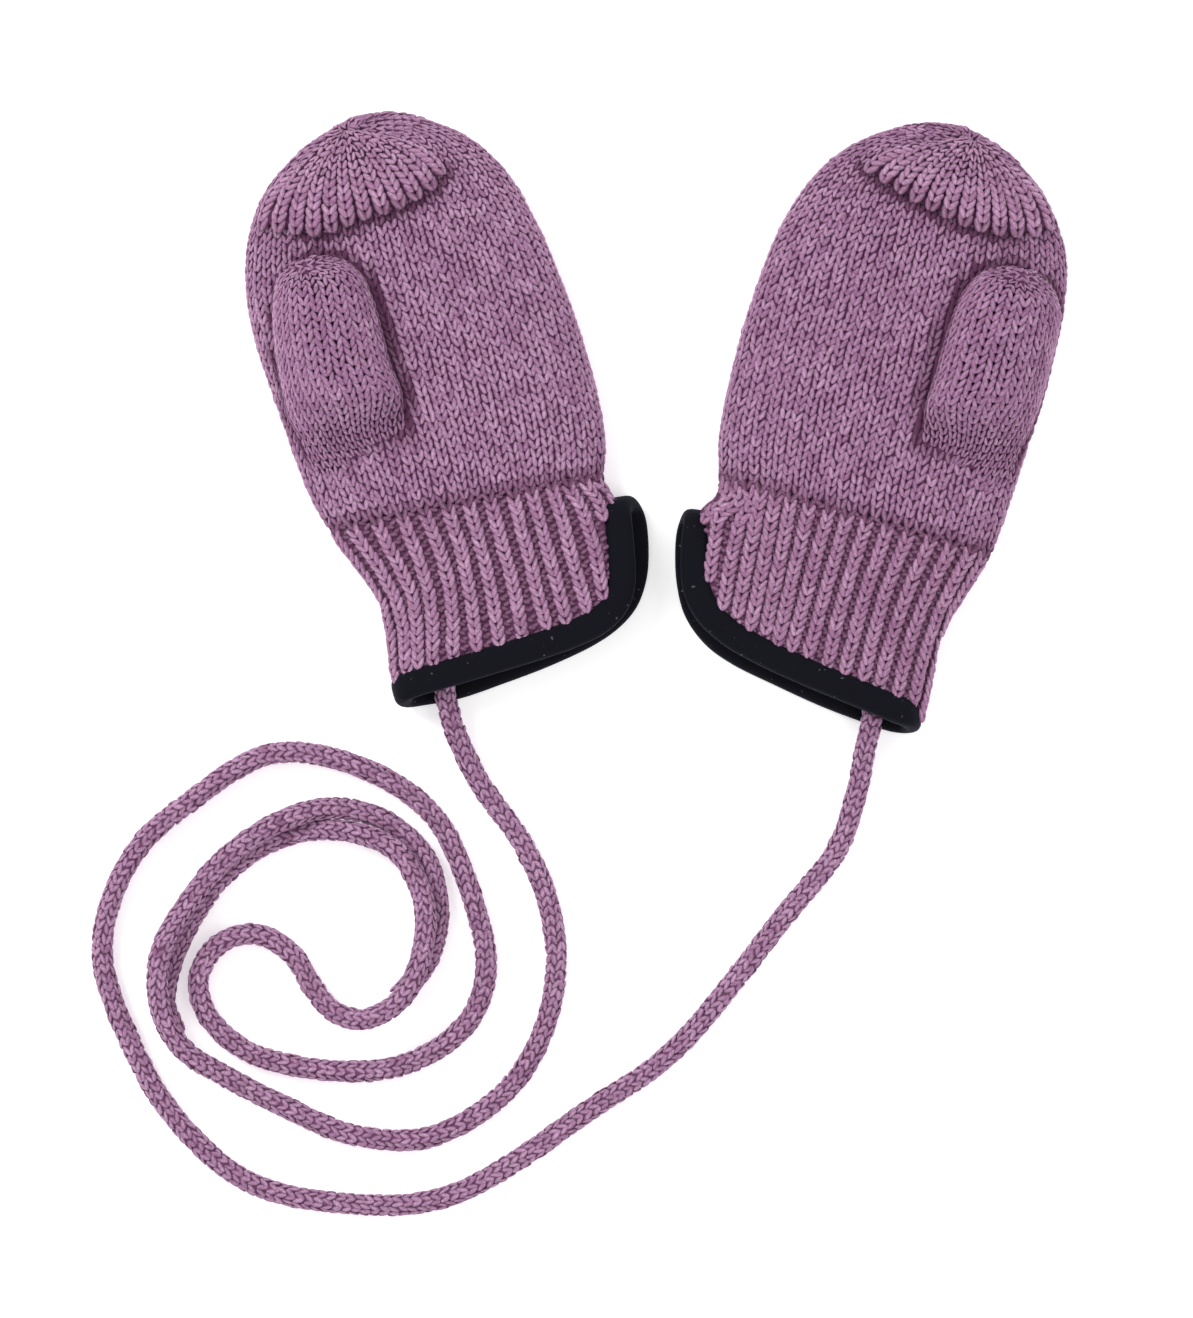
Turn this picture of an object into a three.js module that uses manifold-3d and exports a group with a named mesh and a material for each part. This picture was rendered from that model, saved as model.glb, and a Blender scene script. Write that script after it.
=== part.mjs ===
// A pair of baby mittens: plain-knit hands with tube thumbs, a ribbed gathered tip, ribbed cuffs
// with a side slit, a velour band round each hem and slit, and a knitted cord out of each cuff.
// Both mittens lie palm up on a flat surface. Millimetres, +Z up, +X right, +Y to the fingertips.
// Each mitten is worked out in its own plan frame: u across, from the thumb side to the slit side,
// and v along, from the hem to the tip. The right mitten is the mirror hand, with sizes of its own.
import * as THREE from 'three';
import { mergeVertices } from 'three/addons/utils/BufferGeometryUtils.js';
import Module from 'manifold-3d';

const wasm = await Module();
wasm.setup();

// Driving dimensions
const seam = 0.3;
const knitWall = 2.6;
const ribWall = 3.0;
const ribDepth = 0.9;
const ribsAcross = 14;
const sideHeight = 5.5;
const soleCrown = 5;
const soleFlat = 0.6;
const thumbWall = 2.2;
const thumbBackWall = 1.8;
const slotWidth = 18;
const slotLength = 11;
const fanThickness = 1.2;
const fanRibDepth = 1.1;
const fanRibs = 12;
const bandWidth = 6.5;
const bandThickness = 4.2;
const bandFold = 4.0;
const layerSplit = 7;
const cordDiameter = 5.3;
const cordSides = 8;

// Plan sections of each mitten. along: place on the v axis. thumb, slit: the two side outlines.
// height: top of the cloth. crown: how square the top is. tilt: how far the section rises towards
// the slit side. lag: how far the underside reaches past the top, towards the hem.
const leftMitten = {
  name: 'left',
  side: 1,
  lean: 14.93,
  at: [-37.39, -52.2],
  seamAt: 34.7,
  tipAt: 130.4,
  sections: [
    { along: -12, thumb: -27.0, slit: 36.5, height: 14.6, crown: 3.6, tilt: 0.8, lag: 3.0 },
    { along: -2, thumb: -27.0, slit: 37.5, height: 14.6, crown: 3.6, tilt: 0.6, lag: 3.0 },
    { along: 6, thumb: -26.7, slit: 38.4, height: 14.6, crown: 3.6, tilt: 0.2, lag: 2.0 },
    { along: 14, thumb: -25.3, slit: 38.6, height: 14.6, crown: 3.5, tilt: -0.6, lag: 0.8 },
    { along: 18, thumb: -25.8, slit: 38.0, height: 14.6, crown: 3.4, tilt: -1.0, lag: 0.3 },
    { along: 22, thumb: -27.8, slit: 36.4, height: 14.6, crown: 3.3, tilt: -1.4, lag: 0.0 },
    { along: 26, thumb: -29.9, slit: 34.9, height: 14.6, crown: 3.2, tilt: -1.8, lag: 0.0 },
    { along: 30, thumb: -31.6, slit: 33.7, height: 14.6, crown: 3.1, tilt: -2.0, lag: 0.0 },
    { along: 34, thumb: -33.0, slit: 34.2, height: 14.7, crown: 3.0, tilt: -2.2, lag: 0.0 },
    { along: 42, thumb: -35.1, slit: 36.8, height: 15.2, crown: 2.8, tilt: -1.5, lag: 0.0 },
    { along: 54, thumb: -36.4, slit: 37.8, height: 16.0, crown: 2.6, tilt: -0.3, lag: 0.0 },
    { along: 70, thumb: -37.6, slit: 37.3, height: 16.5, crown: 2.6, tilt: 0.0, lag: 0.0 },
    { along: 82, thumb: -38.4, slit: 36.1, height: 16.6, crown: 2.6, tilt: 0.0, lag: 0.0 },
    { along: 94, thumb: -37.9, slit: 34.3, height: 16.4, crown: 2.6, tilt: 0.0, lag: 0.0 },
    { along: 106, thumb: -34.9, slit: 31.3, height: 15.2, crown: 2.5, tilt: 0.0, lag: 0.0 },
    { along: 114, thumb: -30.8, slit: 27.4, height: 13.6, crown: 2.5, tilt: 0.0, lag: 0.0 },
    { along: 120, thumb: -25.6, slit: 22.7, height: 12.0, crown: 2.4, tilt: 0.0, lag: 0.0 },
    { along: 124, thumb: -20.7, slit: 17.9, height: 10.6, crown: 2.4, tilt: 0.0, lag: 0.0 },
    { along: 127, thumb: -16.0, slit: 13.2, height: 9.2, crown: 2.3, tilt: 0.0, lag: 0.0 },
    { along: 129, thumb: -8.5, slit: 7.5, height: 7.8, crown: 2.2, tilt: 0.0, lag: 0.0 },
    { along: 130.4, thumb: -1.5, slit: 3.5, height: 6.4, crown: 2.2, tilt: 0.0, lag: 0.0 },
  ],
  // The thumb's tube, from its base on the palm to its top. rise: its height above the palm.
  thumb: [
    { along: 54.0, outer: -32.0, inner: -11.5, rise: 1.3 },
    { along: 57.0, outer: -33.3, inner: -9.0, rise: 3.4 },
    { along: 60.5, outer: -34.4, inner: -7.7, rise: 6.4 },
    { along: 64.5, outer: -35.0, inner: -7.5, rise: 9.0 },
    { along: 70.0, outer: -34.9, inner: -8.3, rise: 10.9 },
    { along: 78.0, outer: -34.3, inner: -8.2, rise: 11.7 },
    { along: 86.0, outer: -33.1, inner: -8.3, rise: 11.7 },
    { along: 92.5, outer: -31.0, inner: -9.3, rise: 10.9 },
    { along: 97.0, outer: -28.2, inner: -12.5, rise: 8.6 },
    { along: 99.4, outer: -24.2, inner: -15.0, rise: 5.6 },
    { along: 100.4, outer: -20.8, inner: -17.2, rise: 3.2 },
  ],
  // Lower edge of the gathered tip, and the point that its ribs are drawn together at.
  fanEdge: [
    { u: -31.6, v: 110.4 },
    { u: -24.9, v: 107.0 },
    { u: -16.4, v: 103.8 },
    { u: -6.9, v: 104.6 },
    { u: 3.7, v: 105.2 },
    { u: 12.0, v: 107.4 },
    { u: 17.0, v: 112.0 },
  ],
  gather: { u: -4.4, v: 127.2 },
  // Centre line of the band, on the upper and the under layer of the cuff, from the thumb side along
  // the hem and up the slit. facing: the direction of its outer edge, in degrees from +u.
  bandUpper: [
    { u: -22.0, v: -4.8, facing: -91 },
    { u: -14.0, v: -4.6, facing: -90 },
    { u: -3.0, v: -4.3, facing: -89 },
    { u: 8.0, v: -3.9, facing: -87 },
    { u: 17.0, v: -3.2, facing: -81 },
    { u: 24.5, v: -1.6, facing: -66 },
    { u: 29.4, v: 1.7, facing: -38 },
    { u: 31.8, v: 6.2, facing: -17 },
    { u: 33.1, v: 11.5, facing: -10 },
    { u: 34.2, v: 17.0, facing: -6 },
  ],
  bandUnder: [
    { u: -22.0, v: -7.2, facing: -92 },
    { u: -13.5, v: -7.9, facing: -88 },
    { u: -1.8, v: -7.1, facing: -86 },
    { u: 9.6, v: -5.9, facing: -83 },
    { u: 20.9, v: -3.8, facing: -76 },
    { u: 26.9, v: -1.6, facing: -60 },
    { u: 31.2, v: 1.3, facing: -42 },
    { u: 34.2, v: 5.4, facing: -26 },
    { u: 36.2, v: 10.2, facing: -15 },
    { u: 37.6, v: 16.2, facing: -6 },
  ],
};

const rightMitten = {
  name: 'right',
  side: -1,
  lean: -12.88,
  at: [37.49, -54.6],
  seamAt: 34.4,
  tipAt: 130.1,
  sections: [
    { along: -16, thumb: -29.4, slit: 32.5, height: 14.6, crown: 3.6, tilt: 5.6, lag: 2.6 },
    { along: -4, thumb: -29.2, slit: 35.6, height: 14.6, crown: 3.6, tilt: 4.8, lag: 2.6 },
    { along: 4, thumb: -29.0, slit: 36.4, height: 14.6, crown: 3.6, tilt: 4.0, lag: 1.8 },
    { along: 12, thumb: -28.5, slit: 36.4, height: 14.6, crown: 3.5, tilt: 3.2, lag: 0.8 },
    { along: 18, thumb: -30.2, slit: 35.8, height: 14.6, crown: 3.4, tilt: 2.7, lag: 0.3 },
    { along: 22, thumb: -32.2, slit: 34.6, height: 14.6, crown: 3.3, tilt: 2.4, lag: 0.0 },
    { along: 26, thumb: -34.3, slit: 32.6, height: 14.6, crown: 3.2, tilt: 2.1, lag: 0.0 },
    { along: 30, thumb: -35.8, slit: 30.4, height: 14.6, crown: 3.1, tilt: 1.9, lag: 0.0 },
    { along: 34, thumb: -36.9, slit: 31.0, height: 14.7, crown: 3.0, tilt: 1.8, lag: 0.0 },
    { along: 42, thumb: -38.1, slit: 32.8, height: 15.2, crown: 2.8, tilt: 1.2, lag: 0.0 },
    { along: 54, thumb: -39.2, slit: 33.6, height: 16.0, crown: 2.6, tilt: 0.2, lag: 0.0 },
    { along: 70, thumb: -40.7, slit: 33.4, height: 16.5, crown: 2.6, tilt: 0.0, lag: 0.0 },
    { along: 82, thumb: -41.0, slit: 32.4, height: 16.6, crown: 2.6, tilt: 0.0, lag: 0.0 },
    { along: 94, thumb: -40.7, slit: 30.7, height: 16.4, crown: 2.6, tilt: 0.0, lag: 0.0 },
    { along: 106, thumb: -38.4, slit: 27.3, height: 15.2, crown: 2.5, tilt: 0.0, lag: 0.0 },
    { along: 114, thumb: -34.0, slit: 23.2, height: 13.6, crown: 2.5, tilt: 0.0, lag: 0.0 },
    { along: 120, thumb: -29.3, slit: 18.3, height: 12.0, crown: 2.4, tilt: 0.0, lag: 0.0 },
    { along: 124, thumb: -24.8, slit: 13.8, height: 10.6, crown: 2.4, tilt: 0.0, lag: 0.0 },
    { along: 127, thumb: -20.3, slit: 8.2, height: 9.2, crown: 2.3, tilt: 0.0, lag: 0.0 },
    { along: 129, thumb: -14.6, slit: 3.0, height: 7.8, crown: 2.2, tilt: 0.0, lag: 0.0 },
    { along: 130.1, thumb: -7.2, slit: -1.0, height: 6.4, crown: 2.2, tilt: 0.0, lag: 0.0 },
  ],
  thumb: [
    { along: 54.0, outer: -36.0, inner: -17.0, rise: 1.3 },
    { along: 57.0, outer: -37.4, inner: -14.5, rise: 3.4 },
    { along: 60.5, outer: -38.6, inner: -13.2, rise: 6.4 },
    { along: 64.5, outer: -39.4, inner: -13.2, rise: 9.0 },
    { along: 70.0, outer: -40.1, inner: -13.7, rise: 10.9 },
    { along: 78.0, outer: -40.5, inner: -14.0, rise: 11.7 },
    { along: 86.0, outer: -40.5, inner: -14.8, rise: 11.7 },
    { along: 92.5, outer: -39.8, inner: -16.4, rise: 10.9 },
    { along: 97.0, outer: -37.4, inner: -18.8, rise: 8.6 },
    { along: 99.5, outer: -33.6, inner: -21.6, rise: 5.6 },
    { along: 100.6, outer: -29.6, inner: -24.4, rise: 3.2 },
  ],
  fanEdge: [
    { u: -34.6, v: 111.6 },
    { u: -28.6, v: 107.4 },
    { u: -16.6, v: 105.8 },
    { u: -7.4, v: 107.2 },
    { u: 0.9, v: 109.4 },
    { u: 9.9, v: 112.6 },
    { u: 14.5, v: 115.0 },
  ],
  gather: { u: -10.5, v: 127.4 },
  bandUpper: [
    { u: -23.0, v: -9.5, facing: -105 },
    { u: -12.4, v: -7.7, facing: -103 },
    { u: 0.0, v: -5.6, facing: -101 },
    { u: 11.5, v: -3.2, facing: -90 },
    { u: 20.5, v: -0.4, facing: -72 },
    { u: 27.0, v: 3.6, facing: -45 },
    { u: 30.6, v: 8.6, facing: -22 },
    { u: 32.3, v: 14.5, facing: -11 },
    { u: 33.4, v: 20.5, facing: -6 },
  ],
  bandUnder: [
    { u: -23.0, v: -11.7, facing: -104 },
    { u: -15.5, v: -10.9, facing: -102 },
    { u: -5.7, v: -9.5, facing: -102 },
    { u: 5.9, v: -7.1, facing: -103 },
    { u: 17.2, v: -4.4, facing: -90 },
    { u: 23.6, v: -1.6, facing: -62 },
    { u: 28.9, v: 3.2, facing: -40 },
    { u: 32.0, v: 9.3, facing: -20 },
    { u: 33.8, v: 15.5, facing: -9 },
    { u: 34.6, v: 20.5, facing: -4 },
  ],
};

// Routes of the two cords over the surface, from inside each cuff to their tucked-in ends.
// Each lies on the surface except where it leaves the cuff over the band or passes over the other.
const leftCordRoute = [
  { x: -52.1, y: -52.3, z: 6.1 },
  { x: -51.1, y: -61.9, z: 7.0 },
  { x: -49.9, y: -68.6, z: 7.2 },
  { x: -47.3, y: -76.6, z: 4.7 },
  { x: -42.2, y: -87.1, z: 2.7 },
  { x: -32.4, y: -100.8, z: 2.7 },
  { x: -26.2, y: -114.7, z: 2.7 },
  { x: -24.0, y: -130.6, z: 2.7 },
  { x: -27.8, y: -148.3, z: 2.7 },
  { x: -37.4, y: -162.2, z: 2.7 },
  { x: -54.7, y: -172.1, z: 2.7 },
  { x: -73.4, y: -171.4, z: 2.7 },
  { x: -91.4, y: -163.7, z: 3.2 },
  { x: -104.2, y: -156.7, z: 5.8 },
  { x: -113.3, y: -150.7, z: 8.2 },
  { x: -119.0, y: -140.6, z: 8.5 },
  { x: -118.8, y: -127.2, z: 8.3 },
  { x: -112.6, y: -115.9, z: 8.0 },
  { x: -103.7, y: -105.0, z: 8.2 },
  { x: -90.2, y: -95.0, z: 7.2 },
  { x: -77.9, y: -91.4, z: 4.4 },
  { x: -65.0, y: -95.2, z: 2.7 },
  { x: -55.3, y: -105.2, z: 2.7 },
  { x: -52.3, y: -118.3, z: 2.7 },
  { x: -54.9, y: -129.6, z: 2.7 },
  { x: -62.4, y: -138.6, z: 2.7 },
];

const rightCordRoute = [
  { x: 53.8, y: -55.9, z: 6.1 },
  { x: 52.8, y: -64.3, z: 7.0 },
  { x: 51.8, y: -71.5, z: 7.2 },
  { x: 50.4, y: -78.5, z: 5.0 },
  { x: 48.5, y: -88.6, z: 2.7 },
  { x: 43.7, y: -102.7, z: 2.7 },
  { x: 31.4, y: -118.3, z: 2.7 },
  { x: 4.1, y: -151.4, z: 2.7 },
  { x: -14.2, y: -164.4, z: 2.7 },
  { x: -49.7, y: -186.2, z: 2.7 },
  { x: -73.4, y: -188.2, z: 2.7 },
  { x: -97.9, y: -182.9, z: 2.7 },
  { x: -115.0, y: -168.5, z: 2.7 },
  { x: -126.5, y: -149.5, z: 2.7 },
  { x: -133.4, y: -126.7, z: 2.7 },
  { x: -126.2, y: -104.4, z: 2.7 },
  { x: -110.6, y: -90.0, z: 2.7 },
  { x: -92.4, y: -79.7, z: 2.7 },
  { x: -71.5, y: -82.8, z: 2.7 },
  { x: -54.0, y: -94.1, z: 2.7 },
  { x: -44.6, y: -113.3, z: 2.7 },
  { x: -40.9, y: -132.5, z: 2.7 },
  { x: -45.8, y: -145.0, z: 2.7 },
  { x: -59.8, y: -154.3, z: 2.7 },
  { x: -75.8, y: -156.2, z: 2.7 },
  { x: -98.4, y: -151.4, z: 2.7 },
  { x: -108.4, y: -142.0, z: 2.7 },
  { x: -110.0, y: -133.2, z: 2.7 },
  { x: -105.2, y: -125.6, z: 2.7 },
  { x: -96.4, y: -123.2, z: 2.7 },
  { x: -88.0, y: -127.6, z: 2.7 },
  { x: -82.6, y: -136.0, z: 2.7 },
  { x: -78.2, y: -141.3, z: 3.1 },
  { x: -71.4, y: -143.6, z: 5.2 },
  { x: -64.6, y: -141.2, z: 7.9 },
  { x: -59.8, y: -136.6, z: 8.8 },
  { x: -56.2, y: -127.6, z: 8.6 },
  { x: -55.7, y: -115.4, z: 8.1 },
  { x: -61.6, y: -104.4, z: 7.2 },
  { x: -72.7, y: -99.0, z: 4.6 },
  { x: -85.4, y: -98.8, z: 2.7 },
  { x: -97.6, y: -103.6, z: 2.7 },
  { x: -107.4, y: -112.8, z: 2.7 },
  { x: -116.3, y: -129.0, z: 2.7 },
  { x: -117.4, y: -139.5, z: 2.7 },
  { x: -113.4, y: -149.0, z: 2.7 },
];

const cordSteps = { left: 24, right: 56 };

// Row of a table at a place on the v axis, on a smooth curve through the rows
function rowAt(rows, along) {
  const last = rows.length - 2;
  const found = rows.findIndex((row) => row.along > along) - 1;
  const i = found < 0 ? (along < rows[0].along ? 0 : last) : found;
  const [a, b] = [rows[i], rows[i + 1]];
  const before = rows[Math.max(i - 1, 0)];
  const after = rows[Math.min(i + 2, rows.length - 1)];
  const length = b.along - a.along;
  const t = (along - a.along) / length;
  const result = {};
  for (const column of Object.keys(a)) {
    const slopeA = ((b[column] - before[column]) / (b.along - before.along)) * length;
    const slopeB = ((after[column] - a[column]) / (after.along - a.along)) * length;
    const ease = t * t * (3 - 2 * t);
    result[column] = a[column] + (b[column] - a[column]) * ease
      + slopeA * t * (1 - t) * (1 - t) - slopeB * t * t * (1 - t);
  }
  return result;
}

// Height of the top of the cloth over a plan point
function palmTop(mitten, u, v) {
  const row = rowAt(mitten.sections, v);
  const across = Math.min(Math.abs((2 * u - row.thumb - row.slit) / (row.slit - row.thumb)), 1);
  return sideHeight + (row.height - sideHeight) * (1 - across ** row.crown) ** (1 / row.crown);
}

// Evenly spaced points along a polyline, without its last point
function evenPoints(line, count) {
  const lengths = [0];
  for (let i = 1; i < line.length; i++) {
    lengths.push(lengths[i - 1] + line[i].distanceTo(line[i - 1]));
  }
  const points = [];
  let i = 1;
  for (let k = 0; k < count; k++) {
    const wanted = (lengths[line.length - 1] * k) / count;
    while (lengths[i] < wanted) i++;
    const share = (wanted - lengths[i - 1]) / (lengths[i] - lengths[i - 1]);
    points.push(line[i - 1].clone().lerp(line[i], share));
  }
  return points;
}

// One ring of the mitten: over the top from the thumb side to the slit side, and back underneath.
// inset moves it into the cloth, floor is its lowest height, lift(i) raises the points of the top.
function mittenRing(mitten, along, { inset, floor, top, sole, lift = () => 0 }) {
  const row = rowAt(mitten.sections, along);
  const middle = (row.thumb + row.slit) / 2;
  const half = (row.slit - row.thumb) / 2 - inset;
  const dense = 120;
  const upper = [];
  const lower = [];
  for (let i = 0; i <= dense; i++) {
    const x = -Math.cos((Math.PI * i) / dense);
    const arch = (1 - Math.abs(x) ** row.crown) ** (1 / row.crown);
    const bowl = (1 - Math.abs(x) ** soleCrown) ** (1 / soleCrown);
    const drop = sideHeight - (sideHeight - floor + soleFlat) * bowl;
    upper.push(new THREE.Vector2(middle + half * x, sideHeight + (row.height - inset - sideHeight) * arch));
    lower.unshift(new THREE.Vector2(middle + half * x, Math.max(floor, drop)));
  }
  const topPoints = evenPoints(upper, top);
  const ring = [...topPoints, ...evenPoints(lower, sole)];
  return ring.map((point, i) => {
    const before = ring[(i + ring.length - 1) % ring.length];
    const after = ring[(i + 1) % ring.length];
    const outward = new THREE.Vector2(before.y - after.y, after.x - before.x).normalize();
    const moved = point.clone().addScaledVector(outward, i < top ? lift(i) : 0);
    const rise = row.tilt * ((point.x - middle) / half) - row.lag * (1 - point.y / row.height);
    return new THREE.Vector3(moved.x, along + rise, moved.y);
  });
}

// Closed surface through rings of equal count: a loop, or a body closed by a fan at each end
function loft(rings, loop = false) {
  const across = rings[0].length;
  const points = rings.flat();
  const faces = [];
  const spans = loop ? rings.length : rings.length - 1;
  for (let r = 0; r < spans; r++) {
    const next = (r + 1) % rings.length;
    for (let k = 0; k < across; k++) {
      const beside = (k + 1) % across;
      const corners = [r * across + k, r * across + beside, next * across + beside, next * across + k];
      faces.push(corners[0], corners[1], corners[2], corners[0], corners[2], corners[3]);
    }
  }
  if (!loop) {
    for (const r of [0, rings.length - 1]) {
      const centre = new THREE.Vector3();
      rings[r].forEach((point) => centre.addScaledVector(point, 1 / across));
      points.push(centre);
      for (let k = 0; k < across; k++) {
        const pair = [r * across + k, r * across + ((k + 1) % across)];
        if (r === 0) pair.reverse();
        faces.push(pair[0], pair[1], points.length - 1);
      }
    }
  }
  return outward(points, faces);
}

// Indexed geometry with its faces turned outwards
function outward(points, faces) {
  let volume = 0;
  for (let f = 0; f < faces.length; f += 3) {
    const [a, b, c] = [points[faces[f]], points[faces[f + 1]], points[faces[f + 2]]];
    volume += a.dot(new THREE.Vector3().crossVectors(b, c));
  }
  if (volume < 0) faces.reverse();
  const geometry = new THREE.BufferGeometry().setFromPoints(points);
  geometry.setIndex(faces);
  return geometry;
}

function solidOf(geometry) {
  const plain = geometry.clone();
  plain.deleteAttribute('normal');
  plain.deleteAttribute('uv');
  const merged = mergeVertices(plain, 1e-4);
  return new wasm.Manifold(new wasm.Mesh({
    numProp: 3,
    vertProperties: new Float32Array(merged.attributes.position.array),
    triVerts: new Uint32Array(merged.index.array),
  }));
}

function geometryOf(solid) {
  const mesh = solid.getMesh();
  const geometry = new THREE.BufferGeometry();
  geometry.setAttribute('position', new THREE.BufferAttribute(new Float32Array(mesh.vertProperties), 3));
  geometry.setIndex(new THREE.BufferAttribute(new Uint32Array(mesh.triVerts), 1));
  geometry.computeVertexNormals();
  return geometry;
}

// Puts a shape from the plan frame (u, v, height) into the mitten's own frame, mirrored on the right
function handed(mitten, rings) {
  return rings.map((ring) => ring.map((point) => new THREE.Vector3(mitten.side * point.x, point.y, point.z)));
}

// Upright block over a plan outline, between two heights
function block(mitten, outline, low, high) {
  const ringAt = (z) => outline.map(({ u, v }) => new THREE.Vector3(mitten.side * u, v, z));
  const points = [...ringAt(low), ...ringAt(high)];
  const shape = outline.map(({ u, v }) => new THREE.Vector2(mitten.side * u, v));
  const flip = THREE.ShapeUtils.isClockWise(shape);
  const lid = THREE.ShapeUtils.triangulateShape(shape, []);
  const count = outline.length;
  const faces = [];
  for (const [a, b, c] of lid) {
    faces.push(a, c, b, a + count, b + count, c + count);
  }
  for (let k = 0; k < count; k++) {
    const next = (k + 1) % count;
    const wall = [k, next, next + count, k, next + count, k + count];
    faces.push(...(flip ? wall.reverse() : wall));
  }
  return outward(points, faces);
}

// Outer body of the hand, grown by a clearance
function handOuter(mitten, grow, top = 20, sole = 12) {
  const places = [mitten.seamAt + seam / 2, 42, 50, 60, 70, 80, 90, 98, 106, 113, 119, 123.5, 127, 129, mitten.tipAt];
  const shape = { inset: -grow, floor: -grow, top, sole };
  return solidOf(loft(handed(mitten, places.map((along) => mittenRing(mitten, along, shape)))));
}

// Opening in the palm that the thumb's tube grows from
function thumbSlot(mitten) {
  const start = mitten.thumb[2].along - 1.5;
  const row = rowAt(mitten.thumb, start + slotLength / 2);
  const middle = (row.outer + row.inner) / 2;
  const [left, right] = [middle - slotWidth / 2, middle + slotWidth / 2];
  const outline = [
    { u: left, v: start },
    { u: right, v: start },
    { u: right, v: start + slotLength },
    { u: left, v: start + slotLength },
  ];
  return solidOf(block(mitten, outline, sideHeight + 2, palmTop(mitten, middle, start) + thumbBackWall + 1));
}

// Hand: a plain-knit tube closed at the tip, open to the cuff and to the thumb
function hand(mitten) {
  const places = [mitten.seamAt - 4, 46, 58, 70, 82, 94, 104, 112, 119, 124, 127.2];
  const shape = { inset: knitWall, floor: knitWall, top: 14, sole: 8 };
  const hollow = solidOf(loft(handed(mitten, places.map((along) => mittenRing(mitten, along, shape)))));
  return handOuter(mitten, 0).subtract(hollow).subtract(thumbSlot(mitten));
}

// Thumb: a tube that lies on the palm, with its back sunk to the palm and open over the slot
function thumb(mitten) {
  const half = 11;
  const sections = (inset, under) => mitten.thumb.map((row) => {
    const middle = (row.outer + row.inner) / 2;
    const reach = (row.inner - row.outer) / 2 - inset;
    const ring = [];
    for (let k = 0; k <= half; k++) {
      const x = -Math.cos((Math.PI * k) / half);
      const u = middle + reach * x;
      const arch = (1 - Math.abs(x) ** 2.4) ** (1 / 2.4);
      ring.push(new THREE.Vector3(u, row.along, palmTop(mitten, u, row.along) + under + (row.rise - inset - under) * arch));
    }
    for (let k = half - 1; k > 0; k--) {
      const u = middle - reach * Math.cos((Math.PI * k) / half);
      ring.push(new THREE.Vector3(u, row.along, palmTop(mitten, u, row.along) + under - 0.6));
    }
    return ring;
  });
  const outer = solidOf(loft(handed(mitten, sections(0, -0.8))));
  const inside = sections(thumbWall, seam + thumbBackWall + 0.6).slice(2, -2);
  const hollow = solidOf(loft(handed(mitten, inside)));
  return outer.subtract(hollow).subtract(thumbSlot(mitten)).subtract(handOuter(mitten, seam));
}

// Gathered tip: a ribbed pad on the palm side whose ribs run together at one point
function tipFan(mitten) {
  const edge = new THREE.CatmullRomCurve3(mitten.fanEdge.map(({ u, v }) => new THREE.Vector3(u, v, 0)));
  const gather = new THREE.Vector3(mitten.gather.u, mitten.gather.v, 0);
  const rows = [0, 0.18, 0.4, 0.62, 0.8, 0.92];
  const columns = fanRibs * 3;
  const point = (k, r, scallop) => {
    const foot = edge.getPointAt(k / columns);
    const bend = new THREE.Vector3(foot.x + 0.15 * (gather.x - foot.x), foot.y + 0.6 * (gather.y - foot.y), 0);
    const line = new THREE.QuadraticBezierCurve3(foot, bend, gather);
    return line.getPoint(r === 0 ? scallop : r);
  };
  const grid = (under) => rows.map((r) => {
    const line = [];
    for (let k = 0; k <= columns; k++) {
      const ridge = k % 3 === 0 ? 0 : 1;
      const { x: u, y: v } = point(k, r, ridge ? 0 : 0.06);
      const step = 0.2;
      const slopeU = (palmTop(mitten, u + step, v) - palmTop(mitten, u - step, v)) / (2 * step);
      const slopeV = (palmTop(mitten, u, v + step) - palmTop(mitten, u, v - step)) / (2 * step);
      const normal = new THREE.Vector3(-slopeU, -slopeV, 1).normalize();
      const side = k === 0 || k === columns ? 0.3 : 1;
      const thick = seam + (fanThickness * side + fanRibDepth * ridge) * (1 - 0.45 * r);
      const height = under ? -0.5 : thick;
      line.push(new THREE.Vector3(u, v, palmTop(mitten, u, v)).addScaledVector(normal, height));
    }
    return line;
  });
  const upper = grid(false);
  const lower = grid(true);
  const rings = upper.map((line, r) => [...line, ...lower[r].slice().reverse()]);
  return solidOf(loft(handed(mitten, rings))).subtract(handOuter(mitten, seam));
}

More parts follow.
